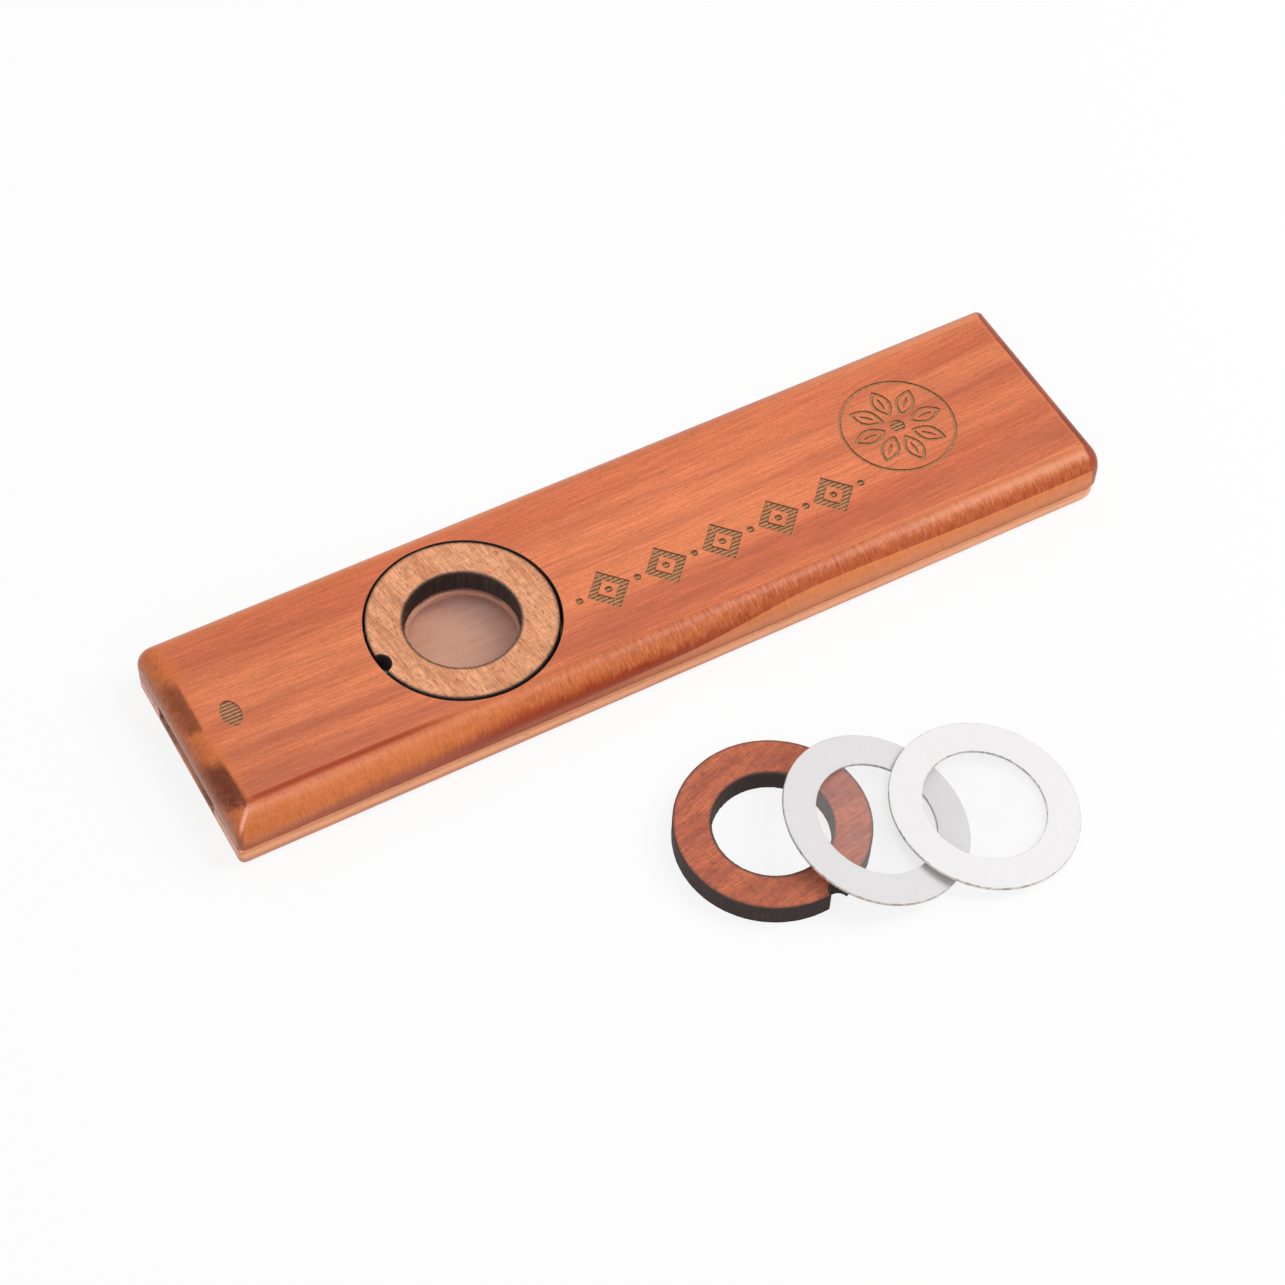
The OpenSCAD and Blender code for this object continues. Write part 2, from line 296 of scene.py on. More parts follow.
def turned(profile, segments, shifts, ripple):
    """Points and faces of a closed profile of (radius, height) turned about Z. shifts gives each row's
    middle, and ripple(row, segment) adds to its radius."""
    points = []
    for k, ((radius, height), (sx, sy)) in enumerate(zip(profile, shifts)):
        for i in range(segments):
            a = 2 * math.pi * i / segments
            r = radius + ripple(k, i)
            points.append((sx + r * math.cos(a), sy + r * math.sin(a), height))
    faces, count = [], len(profile)
    for k in range(count):
        for i in range(segments):
            j, m = (i + 1) % segments, (k + 1) % count
            faces.append((k * segments + i, k * segments + j, m * segments + j, m * segments + i))
    return points, faces


def solid_turned(name, profile, segments, centre, materials):
    """A closed solid of revolution with flat ends, from (radius, height) pairs that rise. The last material
    is for its lower end, the first for the rest."""
    rows = [[(x, y, height) for x, y in circle(radius, centre, segments)] for radius, height in profile]
    points, faces = stacked(rows)
    return draw(name, points, faces, materials, [len(materials) - 1] + [0] * (len(faces) - 1))


def prism(outline, low, high, hole=None):
    """Points, faces and kinds of an upright prism: kind 0 is its lower face, kind 1 the rest."""
    n = len(outline)
    if hole is None:
        points = [(x, y, z) for z in (low, high) for x, y in outline]
        faces = [tuple(reversed(range(n))), tuple(range(n, 2 * n))]
        faces += [(i, (i + 1) % n, n + (i + 1) % n, n + i) for i in range(n)]
        return points, faces, [0] + [1] * (n + 1)
    points = [(x, y, z) for z in (low, high) for loop in (outline, hole) for x, y in loop]
    faces, kinds = [], []
    for i in range(n):
        j = (i + 1) % n
        faces.append((i, n + i, n + j, j))
        faces.append((2 * n + i, 2 * n + j, 3 * n + j, 3 * n + i))
        faces.append((i, j, 2 * n + j, 2 * n + i))
        faces.append((n + i, 3 * n + i, 3 * n + j, n + j))
        kinds += [0, 1, 1, 1]
    return points, faces, kinds


def gathered(parts):
    """Joins (points, faces, kinds) of several closed shapes that don't touch."""
    points, faces, kinds = [], [], []
    for some_points, some_faces, some_kinds in parts:
        start = len(points)
        points += some_points
        faces += [tuple(start + i for i in face) for face in some_faces]
        kinds += some_kinds
    return points, faces, kinds


def carve(thing, *cutters):
    """Cuts each cutter out of thing. The cut faces take the cutter's materials."""
    for cutter in cutters:
        cut = thing.modifiers.new("cut", "BOOLEAN")
        cut.operation, cut.solver, cut.material_mode = "DIFFERENCE", "EXACT", "TRANSFER"
        cut.object = cutter
    graph = bpy.context.evaluated_depsgraph_get()
    mesh = bpy.data.meshes.new_from_object(thing.evaluated_get(graph))
    thing.modifiers.clear()
    thing.data = mesh
    for cutter in cutters:
        bpy.data.objects.remove(cutter)
    return thing


def place(thing, body, node, where=None, sharp=28):
    """Turns a drawn mesh into a finished piece: metres, clean shading, and its place in the frame.
    Edges that turn by more than sharp degrees stay crisp, and level faces stay flat."""
    shape = bmesh.new()
    shape.from_mesh(thing.data)
    too_short = 0.0008
    nearly_level = 0.9999
    bmesh.ops.remove_doubles(shape, verts=shape.verts, dist=too_short)
    bmesh.ops.dissolve_degenerate(shape, edges=shape.edges, dist=too_short)
    for face in shape.faces:
        face.smooth = abs(face.normal.z) < nearly_level
    for edge in shape.edges:
        edge.smooth = len(edge.link_faces) == 2 and edge.calc_face_angle(0) < math.radians(sharp)
    bmesh.ops.scale(shape, vec=(MM, MM, MM), verts=shape.verts)
    shape.to_mesh(thing.data)
    shape.free()
    if where is not None:
        thing.matrix_world = where
    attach(thing, body)
    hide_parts(node)
    return thing


def wander(t, seed, reach):
    """A slow, smooth wobble, as a hand-held sander leaves, for t from -1 to 1."""
    dice = random.Random(seed)
    # Four waves, each as (how fast it swings, where it starts, its share)
    waves = [(dice.uniform(1.5, 6), dice.uniform(0, 6.3), dice.uniform(0.3, 1)) for _ in range(4)]
    return reach * sum(a * math.sin(w * t + p) for w, p, a in waves) / sum(a for _, _, a in waves)


def eased_step(share):
    """From 0 to 1 along a smooth step, as Blender's own smooth steps run."""
    share = min(max(share, 0), 1)
    return share * share * (3 - 2 * share)


def plan_row(half, inset, radii, height, along=(56, 18), turns=7):
    """One closed row of points round the body. inset(side, t) is how far a side is drawn in at t from -1
    to 1, radii the four corners' radii from the near right one on, height(t) the height at t along X."""
    hx, hy = half
    corners = []
    for (sx, sy), r in zip(((1, -1), (1, 1), (-1, 1), (-1, -1)), radii):
        in_x = inset(RIGHT if sx > 0 else LEFT, sy)
        in_y = inset(NEAR if sy < 0 else FAR, sx)
        corners.append((sx * (hx - in_x - r), sy * (hy - in_y - r), r))
    flat = []
    for side in range(4):
        ax, ay, _ = corners[side - 1]
        bx, by, r = corners[side]
        steps = along[side % 2]
        for k in range(1, steps):
            x, y = ax + (bx - ax) * k / steps, ay + (by - ay) * k / steps
            if side in (NEAR, FAR):
                y = (hy - inset(side, x / hx)) * (-1 if side == NEAR else 1)
            else:
                x = (hx - inset(side, y / hy)) * (-1 if side == LEFT else 1)
            flat.append((x, y))
        for k in range(turns + 1):
            a = math.radians(-90 + 90 * (side + k / turns))
            flat.append((bx + r * math.cos(a), by + r * math.sin(a)))
    return [(x, y, height(x / hx)) for x, y in flat]


# Materials

# Settings that many nodes share
SMOOTH = {"interpolation_type": "SMOOTHSTEP"}
COLOUR = {"data_type": "RGBA"}
TIMES = {"operation": "MULTIPLY"}
PLUS = {"operation": "ADD"}
MINUS = {"operation": "SUBTRACT"}
FUSED = {"operation": "MULTIPLY_ADD"}
SCALED = {"operation": "SCALE"}
LARGER = {"operation": "MAXIMUM"}
SIZE_OF = {"operation": "ABSOLUTE"}

# Noise lies mostly between these two values
NOISE_LOW, NOISE_HIGH = 0.3, 0.7

# How the upper shell's wood changes along the body, as (from x, to x, value before, value after)
SHELL_DRIFTS = {
    "stroke_force": (-45, 15, 0.35, 0.9),
    "redder": (-40, 12, 0, 1),
    # Painted highlight on the rounded edge beside the crease
    "rubbed": (12, 52, 0, 0.55),
    # Lower edge of the painted dark band, which stands for the dark room's reflection, and of the partly
    # painted pale side below it
    "ring_low": (-37, -21, 3.1, 4.4),
    "ring_climb": (-2, 18, 0, 1.6),
    "ring_fall": (24, 38, 0, 0.3),
    "band_opens": (-58, -40, 1.8, 3.3),
    "band_narrows": (-34, 12, 3.3, 1.9),
    "band_fades": (-6, 16, 1, 0.45),
    "band_softness": (-14, 8, -0.8, -0.08),
    "band_darkens": (-42, -20, 0, 1),
    # Partly painted: where the side below the dark band turns pale, also as the white floor's reflection
    "sapwood": (-24, 8, 0, 1),
    # Painted shadow line under the near crease, strong at the mouth end
    "pooled": (-40, -27, 1, 0.12),
    # Painted highlight along the near crease, strongest towards the far end
    "worn": (-5, 40, 0.1, 0.5),
}


def add(tree, kind, out, inputs=None, **settings):
    """Adds one node with its settings and returns output out, or the node where out is None.
    An input is linked where its value is a socket, and set otherwise."""
    node = tree.nodes.new("ShaderNode" + kind)
    for key, value in settings.items():
        setattr(node, key, value)
    for key, value in (inputs or {}).items():
        if isinstance(value, bpy.types.NodeSocket):
            tree.links.new(value, node.inputs[key])
        else:
            node.inputs[key].default_value = value
    return node if out is None else node.outputs[out]


def begun(name):
    """A new material: itself, its nodes, its Principled node and its object coordinates in millimetres."""
    material = bpy.data.materials.new(name)
    material.use_nodes = True
    tree = material.node_tree
    here = add(tree, "TexCoord", "Object")
    mm = add(tree, "VectorMath", 0, {0: here, "Scale": 1 / MM}, **SCALED)
    return material, tree, tree.nodes["Principled BSDF"], mm


def rgba(value):
    """A colour with full alpha, as colour sockets take it."""
    return (*value, 1)


def along_grain(tree, mm, long, wide, detail=2, rough=0.5, seed=0):
    """Noise drawn out along X as wood grain is: long and wide are the size of one streak in millimetres."""
    stretch = (1 / long, 1 / wide, 1 / wide)
    at = add(tree, "VectorMath", 0, {0: mm, 1: stretch, 2: (seed, seed, seed)}, **FUSED)
    return add(tree, "TexNoise", "Fac", {"Vector": at, "Scale": 1, "Detail": detail, "Roughness": rough})


def open_pores(tree, mm, long, wide, seed, start=0.66, end=0.78):
    """Pores as dashes of long by wide millimetres, where the noise rises from start to end."""
    dash = along_grain(tree, mm, long, wide, 1, 0.4, seed)
    return add(tree, "MapRange", 0, {0: dash, 1: start, 2: end}, **SMOOTH)


def shaded(tree, tone, pattern, low, high, start=NOISE_LOW, end=NOISE_HIGH):
    """A colour that turns from low to high times its brightness as a pattern goes from start to end."""
    shade = add(tree, "MapRange", 0, {0: pattern, 1: start, 2: end, 3: low, 4: high}, **SMOOTH)
    return add(tree, "VectorMath", 0, {0: tone, "Scale": shade}, **SCALED)


def stained(tree, tone, hue, share, force):
    """A colour with a hue mixed in, by share times force."""
    share = add(tree, "Math", 0, {0: share, 1: force}, **TIMES)
    return add(tree, "Mix", 2, {0: share, 6: tone, 7: rgba(hue)}, **COLOUR)


def finished(tree, skin, tone, pattern, rough, strength, depth, relief=None):
    """Gives a surface its colour, its roughness as (low, high) of a pattern, and bumps depth mm deep, which
    follow the same pattern unless relief is another."""
    rough = {0: pattern, 1: NOISE_LOW, 2: NOISE_HIGH, 3: rough[0], 4: rough[1]}
    rough = add(tree, "MapRange", 0, rough, **SMOOTH)
    relief = pattern if relief is None else relief
    bump = add(tree, "Bump", 0, {"Strength": strength, "Distance": depth * MM, "Height": relief})
    for socket, source in (("Base Color", tone), ("Roughness", rough), ("Normal", bump)):
        tree.links.new(source, skin.inputs[socket])


def straight_grain(tree, mm, light, red, seed):
    """Planed wood with straight grain, as (its colour, its fibres)."""
    # Drift of the colour: bands 6 mm wide that run most of the body's length
    drift = along_grain(tree, mm, 110, 6, 3, 0.55, seed)
    drift = add(tree, "MapRange", 0, {0: drift, 1: 0.34, 2: 0.66}, **SMOOTH)
    tone = add(tree, "Mix", 2, {0: drift, 6: rgba(light), 7: rgba(red)}, **COLOUR)
    # Growth lines 0.7 mm wide, fibres 0.22 mm wide and 5 mm long, and a mottle of 0.45 mm where the grain
    # dips in and out of the face
    lines = along_grain(tree, mm, 20, 0.7, 2, 0.6, seed + 3)
    fibre = along_grain(tree, mm, 5, 0.22, 3, 0.65, seed + 7)
    mottle = add(tree, "TexNoise", "Fac", {"Vector": mm, "Scale": 2.2, "Detail": 2, "Roughness": 0.6})
    for pattern, low, high in ((lines, 0.94, 1.05), (fibre, 0.83, 1.12), (mottle, 0.93, 1.06)):
        tone = shaded(tree, tone, pattern, low, high)
    return tone, fibre


def satin_varnish(tree, skin, tone, fibre, pores):
    """Finishes varnished wood: the varnish fills the fibres and sinks 0.02 mm into the pores."""
    tree.links.new(tone, skin.inputs["Base Color"])
    rough = add(tree, "MapRange", 0, {0: fibre, 1: NOISE_LOW, 2: NOISE_HIGH, 3: 0.3, 4: 0.4}, **SMOOTH)
    rough = add(tree, "Math", 0, {0: pores, 1: 0.15, 2: rough}, **FUSED)
    tree.links.new(rough, skin.inputs["Roughness"])
    relief = add(tree, "Math", 0, {0: pores, 1: -0.8, 2: fibre}, **FUSED)
    bump = add(tree, "Bump", 0, {"Strength": 0.5, "Distance": 0.02 * MM, "Height": relief})
    tree.links.new(bump, skin.inputs["Normal"])
    # Varnish has an IOR of 1.5, and a thin wiped coat shines less than a full film
    for socket, value in (
        ("IOR", 1.5),
        ("Specular IOR Level", 0.2),
        ("Coat Weight", 0.1),
        ("Coat Roughness", 0.15),
        ("Coat IOR", 1.5),
    ):
        skin.inputs[socket].default_value = value


def heart_streaks(tree, at, tone, grain, half, hues):
    """Soft purple-brown streaks of heartwood on the flat top."""
    waver = along_grain(tree, grain, 24, 1.4, 4, 0.65, 11)
    heart = None
    # Each streak as (place at the mouth end, place at the far end, half width, strength)
    for left, right, half_width, strength in (
        (-11.2, -8.8, 2.4, 0.45),
        (-1.2, 3.4, 1.2, 0.3),
        (9, 4, 1.2, 0.2),
        (-5, -9.6, 1.6, 0.45),
    ):
        middle = {0: at.x, 1: (right - left) / 2 / half[0], 2: (left + right) / 2}
        off = add(tree, "Math", 0, {0: at.y, 1: add(tree, "Math", 0, middle, **FUSED)}, **MINUS)
        off = add(tree, "Math", 0, {0: off}, **SIZE_OF)
        off = add(tree, "Math", 0, {0: off, 1: 1 / half_width}, **TIMES)
        off = add(tree, "Math", 0, {0: waver, 1: 3.0, 2: off}, **FUSED)
        one = add(tree, "MapRange", 0, {0: off, 1: 1.2, 2: 3.0, 3: strength, 4: 0}, **SMOOTH)
        heart = one if heart is None else add(tree, "Math", 0, {0: heart, 1: one}, **LARGER)
    return add(tree, "Mix", 2, {0: heart, 6: tone, 7: rgba(hues.heartwood)}, **COLOUR)


def rounded_edge(tree, at, tone, hues):
    """Orange of the rounded edge, with dark and light strokes where it cuts across the fibres. The oiled
    orange is partly painted for the darker surroundings that the slope mirrors, and the light strokes are
    partly painted highlights.
    """
    darker = add(tree, "MapRange", 0, {0: at.strokes, 1: 0.34, 2: 0.5, 3: 0.6, 4: 0}, **SMOOTH)
    lighter = add(tree, "MapRange", 0, {0: at.strokes, 1: 0.52, 2: 0.68, 3: 0, 4: 0.4}, **SMOOTH)
    glow = add(tree, "Mix", 2, {0: at.redder, 6: rgba(hues.glow), 7: rgba(hues.glow_red)}, **COLOUR)
    oiled = add(tree, "MapRange", 0, {0: at.ny, 1: -0.03, 2: 0.03, 3: 0.7, 4: 0.35})
    glow = add(tree, "Mix", 2, {0: oiled, 6: tone, 7: glow}, **COLOUR)
    glow = stained(tree, glow, hues.stroke, darker, at.force)
    glow = stained(tree, glow, hues.pale_strokes_and_highlight, lighter, at.force)
    # Painted highlight beside the crease, stronger and stronger towards the far end
    upper = add(tree, "MapRange", 0, {0: at.nz, 1: 0.7, 2: 0.95}, **SMOOTH)
    glow = stained(tree, glow, hues.pale_strokes_and_highlight, at.rubbed, upper)
    return add(tree, "Mix", 2, {0: at.slope, 6: tone, 7: glow}, **COLOUR)


def reflected_dark_band(tree, at, tone, half, over, drop, hues):
    """Painted reflection: a dark band along the long sides, which stands for the dark room mirrored in the
    rounded edge. It is low and soft at the mouth end, then climbs onto the rounded edge and parts the red
    heartwood above from paler wood below, which partly stands for the white floor mirrored in the upright
    side."""
    band_z = add(tree, "Math", 0, {0: at.ring_low, 1: at.ring_climb}, **PLUS)
    band_z = add(tree, "Math", 0, {0: band_z, 1: at.ring_fall}, **MINUS)
    unsteady = along_grain(tree, at.mm, 22, 30, 1, 0.4, 5)
    unsteady = add(tree, "MapRange", 0, {0: unsteady, 3: -0.35, 4: 0.35})
    band_z = add(tree, "Math", 0, {0: band_z, 1: unsteady}, **PLUS)
    above = add(tree, "Math", 0, {0: at.z, 1: band_z}, **MINUS)
    # The painted band above its lower edge frays out into the strokes
    frayed = add(tree, "Math", 0, {0: at.strokes, 1: 0.5}, **MINUS)
    frayed = add(tree, "Math", 0, {0: frayed, 1: at.force}, **TIMES)
    frayed = add(tree, "Math", 0, {0: frayed, 1: 2.2, 2: above}, **FUSED)
    reach = add(tree, "Math", 0, {0: at.band_narrows, 1: at.band_opens}, operation="MINIMUM")
    frayed = add(tree, "Math", 0, {0: frayed, 1: reach}, operation="DIVIDE")
    band = add(tree, "MapRange", 0, {0: frayed, 1: 0.18, 2: 0.98, 3: 1, 4: 0}, **SMOOTH)
    start = add(tree, "MapRange", 0, {0: at.x, 1: -60, 2: -28, 3: 0.65, 4: 1})
    long_side = add(tree, "MapRange", 0, {0: at.side, 1: 0.25, 2: 0.5}, **SMOOTH)
    for share in (start, at.band_fades, long_side):
        band = add(tree, "Math", 0, {0: band, 1: share}, **TIMES)
    dark = {0: at.band_darkens, 6: rgba(hues.heart_side), 7: rgba(hues.painted_dark_red)}
    dark = add(tree, "Mix", 2, dark, **COLOUR)
    pale = add(tree, "Mix", 2, {0: at.sapwood, 6: rgba(hues.heart_side), 7: rgba(hues.pale_side)}, **COLOUR)
    pale = add(tree, "Mix", 2, {0: 0.65, 6: tone, 7: pale}, **COLOUR)
    # The side is darker over its lowest 1.5 mm, just above the glue line
    seam = add(tree, "Math", 0, {0: at.x, 1: drop / 2 / half[0], 2: drop / 2 - over}, **FUSED)
    over_seam = add(tree, "Math", 0, {0: at.z, 1: seam}, **PLUS)
    pale = shaded(tree, pale, over_seam, 0.8, 1.0, 0, 1.5)
    banded = add(tree, "Mix", 2, {0: band, 6: tone, 7: dark}, **COLOUR)
    lower = add(tree, "MapRange", 0, {0: above, 1: at.band_softness, 2: 0.06}, **SMOOTH)
    banded = add(tree, "Mix", 2, {0: lower, 6: pale, 7: banded}, **COLOUR)
    return add(tree, "Mix", 2, {0: long_side, 6: tone, 7: banded}, **COLOUR)


def near_crease(tree, at, tone, body, half, hues):
    """Painted shadow: a dark red line with a soft lower edge under the near crease at the mouth end, which
    stands for the shadow of the step beside the flat top. Further on, a painted highlight makes the same
    crease pale."""
    at_mouth, further_on = body.crease_near_left - half[1], body.crease_near - half[1]
    crease = add(tree, "MapRange", 0, {0: at.x, 1: -half[0], 2: 0, 3: at_mouth, 4: further_on}, **SMOOTH)
    down = add(tree, "Math", 0, {0: crease, 1: at.y}, **MINUS)
    pooled = add(tree, "Math", 0, {0: at.pooled, 1: at.clear_of_end}, **TIMES)
    # Each painted line, shadow first and then highlight, as (colour, strength, its steps down the slope as
    # SHELL_DRIFTS are along the body)
    for hue, share, steps in (
        (hues.painted_dark_red, pooled, ((0.4, 1.1, 1, 0.3), (0.8, 2, 1, 0), (-0.12, 0.02, 0, 1))),
        (hues.pale_strokes_and_highlight, at.worn, ((0.05, 0.45, 1, 0), (-0.22, -0.1, 0, 1))),
    ):
        for start, end, before, after in steps:
            step = add(tree, "MapRange", 0, {0: down, 1: start, 2: end, 3: before, 4: after}, **SMOOTH)
            share = add(tree, "Math", 0, {0: share, 1: step}, **TIMES)
        tone = add(tree, "Mix", 2, {0: share, 6: tone, 7: rgba(hue)}, **COLOUR)
    return tone


def soaked_end_grain(tree, at, hues):
    """End grain drinks the varnish: oiled orange-brown at the crease, mauve-grey low down, which partly
    stands for the white floor's reflection, and two dark soaked patches where heartwood meets the end."""
    height = add(tree, "Math", 0, {0: at.z, 1: at.ragged}, **PLUS)
    # Partly painted reflection: the ends turn mauve-grey low down, where they face the white floor
    low = add(tree, "MapRange", 0, {0: height, 1: 4.4, 2: 7.0, 3: 1, 4: 0}, **SMOOTH)
    at_far_end = add(tree, "MapRange", 0, {0: at.nx, 1: -0.1, 2: 0.1}, **SMOOTH)
    oil = add(tree, "Mix", 2, {0: at_far_end, 6: rgba(hues.end_brown), 7: rgba(hues.heart_side)}, **COLOUR)
    tone = add(tree, "Mix", 2, {0: low, 6: oil, 7: rgba(hues.end_grey)}, **COLOUR)
    # The patches lean, so that they lie further from the near side lower down
    lean = add(tree, "Math", 0, {0: at.z, 1: 1.1, 2: at.y}, **FUSED)
    lean = add(tree, "Math", 0, {0: at.ragged, 1: 0.8, 2: lean}, **FUSED)
    faint = add(tree, "MapRange", 0, {0: at.nx, 1: -0.1, 2: 0.1, 3: 1, 4: 0.65})
    # Each patch as (from, to, lower edge, strength)
    for start, end, bottom, strength in ((-5.0, 4.2, 3.6, 1.0), (7.2, 17.4, 5.0, 0.75)):
        patch = add(tree, "MapRange", 0, {0: lean, 1: start, 2: start + 1.6}, **SMOOTH)
        fall = add(tree, "MapRange", 0, {0: lean, 1: end - 3, 2: end, 3: strength, 4: 0}, **SMOOTH)
        deep = add(tree, "MapRange", 0, {0: height, 1: bottom, 2: 7.6}, **SMOOTH)
        for share in (fall, deep):
            patch = add(tree, "Math", 0, {0: patch, 1: share}, **TIMES)
        tone = stained(tree, tone, hues.end_dark, patch, faint)
    # Rays 0.5 mm wide and 2 mm tall
    rays = add(tree, "VectorMath", 0, {0: at.mm, 1: (2, 2, 0.5)}, **TIMES)
    rays = add(tree, "TexNoise", "Fac", {"Vector": rays, "Scale": 1, "Detail": 3, "Roughness": 0.65})
    return shaded(tree, tone, rays, 0.84, 1.12)


def varnished_red_hardwood(name, hues, body, half, over, drop):
    """Reddish hardwood, planed along the grain, rounded over with a router, sanded and wiped with satin
    varnish. To the eye: fine straight fibres and faint purple-brown streaks on the flat top, an oiled orange
    with short cross strokes on the rounded edge, partly painted for the darker surroundings that it mirrors,
    painted highlights on and beside the near crease towards the far end, a painted shadow line under that
    crease at the mouth end, a dark band along the side that is a painted reflection of the dark room, and
    dark soaked end grain whose mauve-grey lower part partly stands for the white floor's reflection."""
    material, tree, skin, mm = begun(name)
    x, y, z = add(tree, "SeparateXYZ", None, {0: mm}).outputs
    nx, ny, nz = add(tree, "SeparateXYZ", None, {0: add(tree, "TexCoord", "Normal")}).outputs
    # What the steps below share: places in mm, the face's direction, and patterns
    at = SimpleNamespace(mm=mm, x=x, y=y, z=z, nx=nx, ny=ny, nz=nz)
    for key, (start, end, before, after) in SHELL_DRIFTS.items():
        drift = add(tree, "MapRange", 0, {0: x, 1: start, 2: end, 3: before, 4: after}, **SMOOTH)
        setattr(at, key, drift)
    # Strokes where the round-over cuts across the fibres: 0.3 mm wide, 1.2 mm down the slope,
    # faint at the mouth end and strong from the middle on
    across = add(tree, "VectorMath", 0, {0: mm, 1: (3.2, 0.75, 0.75)}, **TIMES)
    at.strokes = add(tree, "TexNoise", "Fac", {"Vector": across, "Scale": 1, "Detail": 2, "Roughness": 0.65})
    near_side = add(tree, "MapRange", 0, {0: ny, 1: -0.03, 2: 0.03, 3: 1, 4: 0.3})
    at.force = add(tree, "Math", 0, {0: at.stroke_force, 1: near_side}, **TIMES)
    at.side = add(tree, "Math", 0, {0: ny}, **SIZE_OF)
    at.slope = add(tree, "MapRange", 0, {0: nz, 1: 0.985, 2: 0.999, 3: 1, 4: 0}, **SMOOTH)
    # Ragged blotches of 1 mm, for the edge of the end grain and the oil in it
    ragged = add(tree, "TexNoise", "Fac", {"Vector": mm, "Scale": 0.9, "Detail": 5, "Roughness": 0.7})
    at.ragged = add(tree, "MapRange", 0, {0: ragged, 1: NOISE_LOW, 2: NOISE_HIGH, 3: -0.8, 4: 0.8})
    # Where end grain shows: both ends' slopes and faces, at the far end only outside the crease's step
    facing = add(tree, "Math", 0, {0: nx}, **SIZE_OF)
    facing = add(tree, "Math", 0, {0: at.ragged, 1: 0.05, 2: facing}, **FUSED)
    on_end = add(tree, "MapRange", 0, {0: facing, 1: 0.05, 2: 0.25}, **SMOOTH)
    far_crease = half[0] - body.crease_right
    outside = add(tree, "MapRange", 0, {0: x, 1: far_crease - 0.03, 2: far_crease + 0.07}, **SMOOTH)
    mouth_half = add(tree, "Math", 0, {0: x, 1: 0}, operation="LESS_THAN")
    outside = add(tree, "Math", 0, {0: outside, 1: mouth_half}, **LARGER)
    on_end = add(tree, "Math", 0, {0: on_end, 1: outside}, **TIMES)
    at.clear_of_end = add(tree, "Math", 0, {0: 1, 1: on_end}, **MINUS)

    # The board's grain runs nearly straight and rises a little towards the far end
    bend = add(tree, "Math", 0, {0: x, 1: 0.0004, 2: 0.02}, **FUSED)
    bend = add(tree, "Math", 0, {0: x, 1: bend}, **TIMES)
    grain = add(tree, "CombineXYZ", 0, {0: x, 1: add(tree, "Math", 0, {0: y, 1: bend}, **MINUS), 2: z})
    tone, fibre = straight_grain(tree, grain, hues.shell_light, hues.shell_red, 0)
    tone = heart_streaks(tree, at, tone, grain, half, hues)
    # The board is a little darker towards both ends
    tone = shaded(tree, tone, x, 0.93, 1.0, -58, -15)
    tone = shaded(tree, tone, x, 1.0, 0.91, 24, 58)
    # Oiled orange of the rounded edge, partly painted for what it mirrors, with a painted highlight beside
    # the crease
    tone = rounded_edge(tree, at, tone, hues)
    # Painted reflection of the dark room as a dark band along the sides, over partly painted paler wood
    tone = reflected_dark_band(tree, at, tone, half, over, drop, hues)
    # Painted shadow under the near crease at the mouth end, and a painted highlight along it further on
    tone = near_crease(tree, at, tone, body, half, hues)
    # Pores: dashes 0.14 mm wide and 1.3 mm long
    pores = open_pores(tree, grain, 1.3, 0.14, 17)
    tone = stained(tree, tone, hues.pore, pores, 0.4)
    # Oil has crept out of the end grain onto the flat top, up to 1.8 mm past the crease
    crept = add(tree, "Math", 0, {0: at.ragged, 1: 0.8, 2: x}, **FUSED)
    edge = body.crease_left - half[0]
    crept = add(tree, "MapRange", 0, {0: crept, 1: edge - 0.3, 2: edge + 1.8, 3: 0.45, 4: 0}, **SMOOTH)
    flat_top = add(tree, "Math", 0, {0: 1, 1: at.slope}, **MINUS)
    tone = stained(tree, tone, hues.end_brown, crept, flat_top)
    ends = soaked_end_grain(tree, at, hues)
    tone = add(tree, "Mix", 2, {0: on_end, 6: tone, 7: ends}, **COLOUR)
    satin_varnish(tree, skin, tone, fibre, pores)
    return material


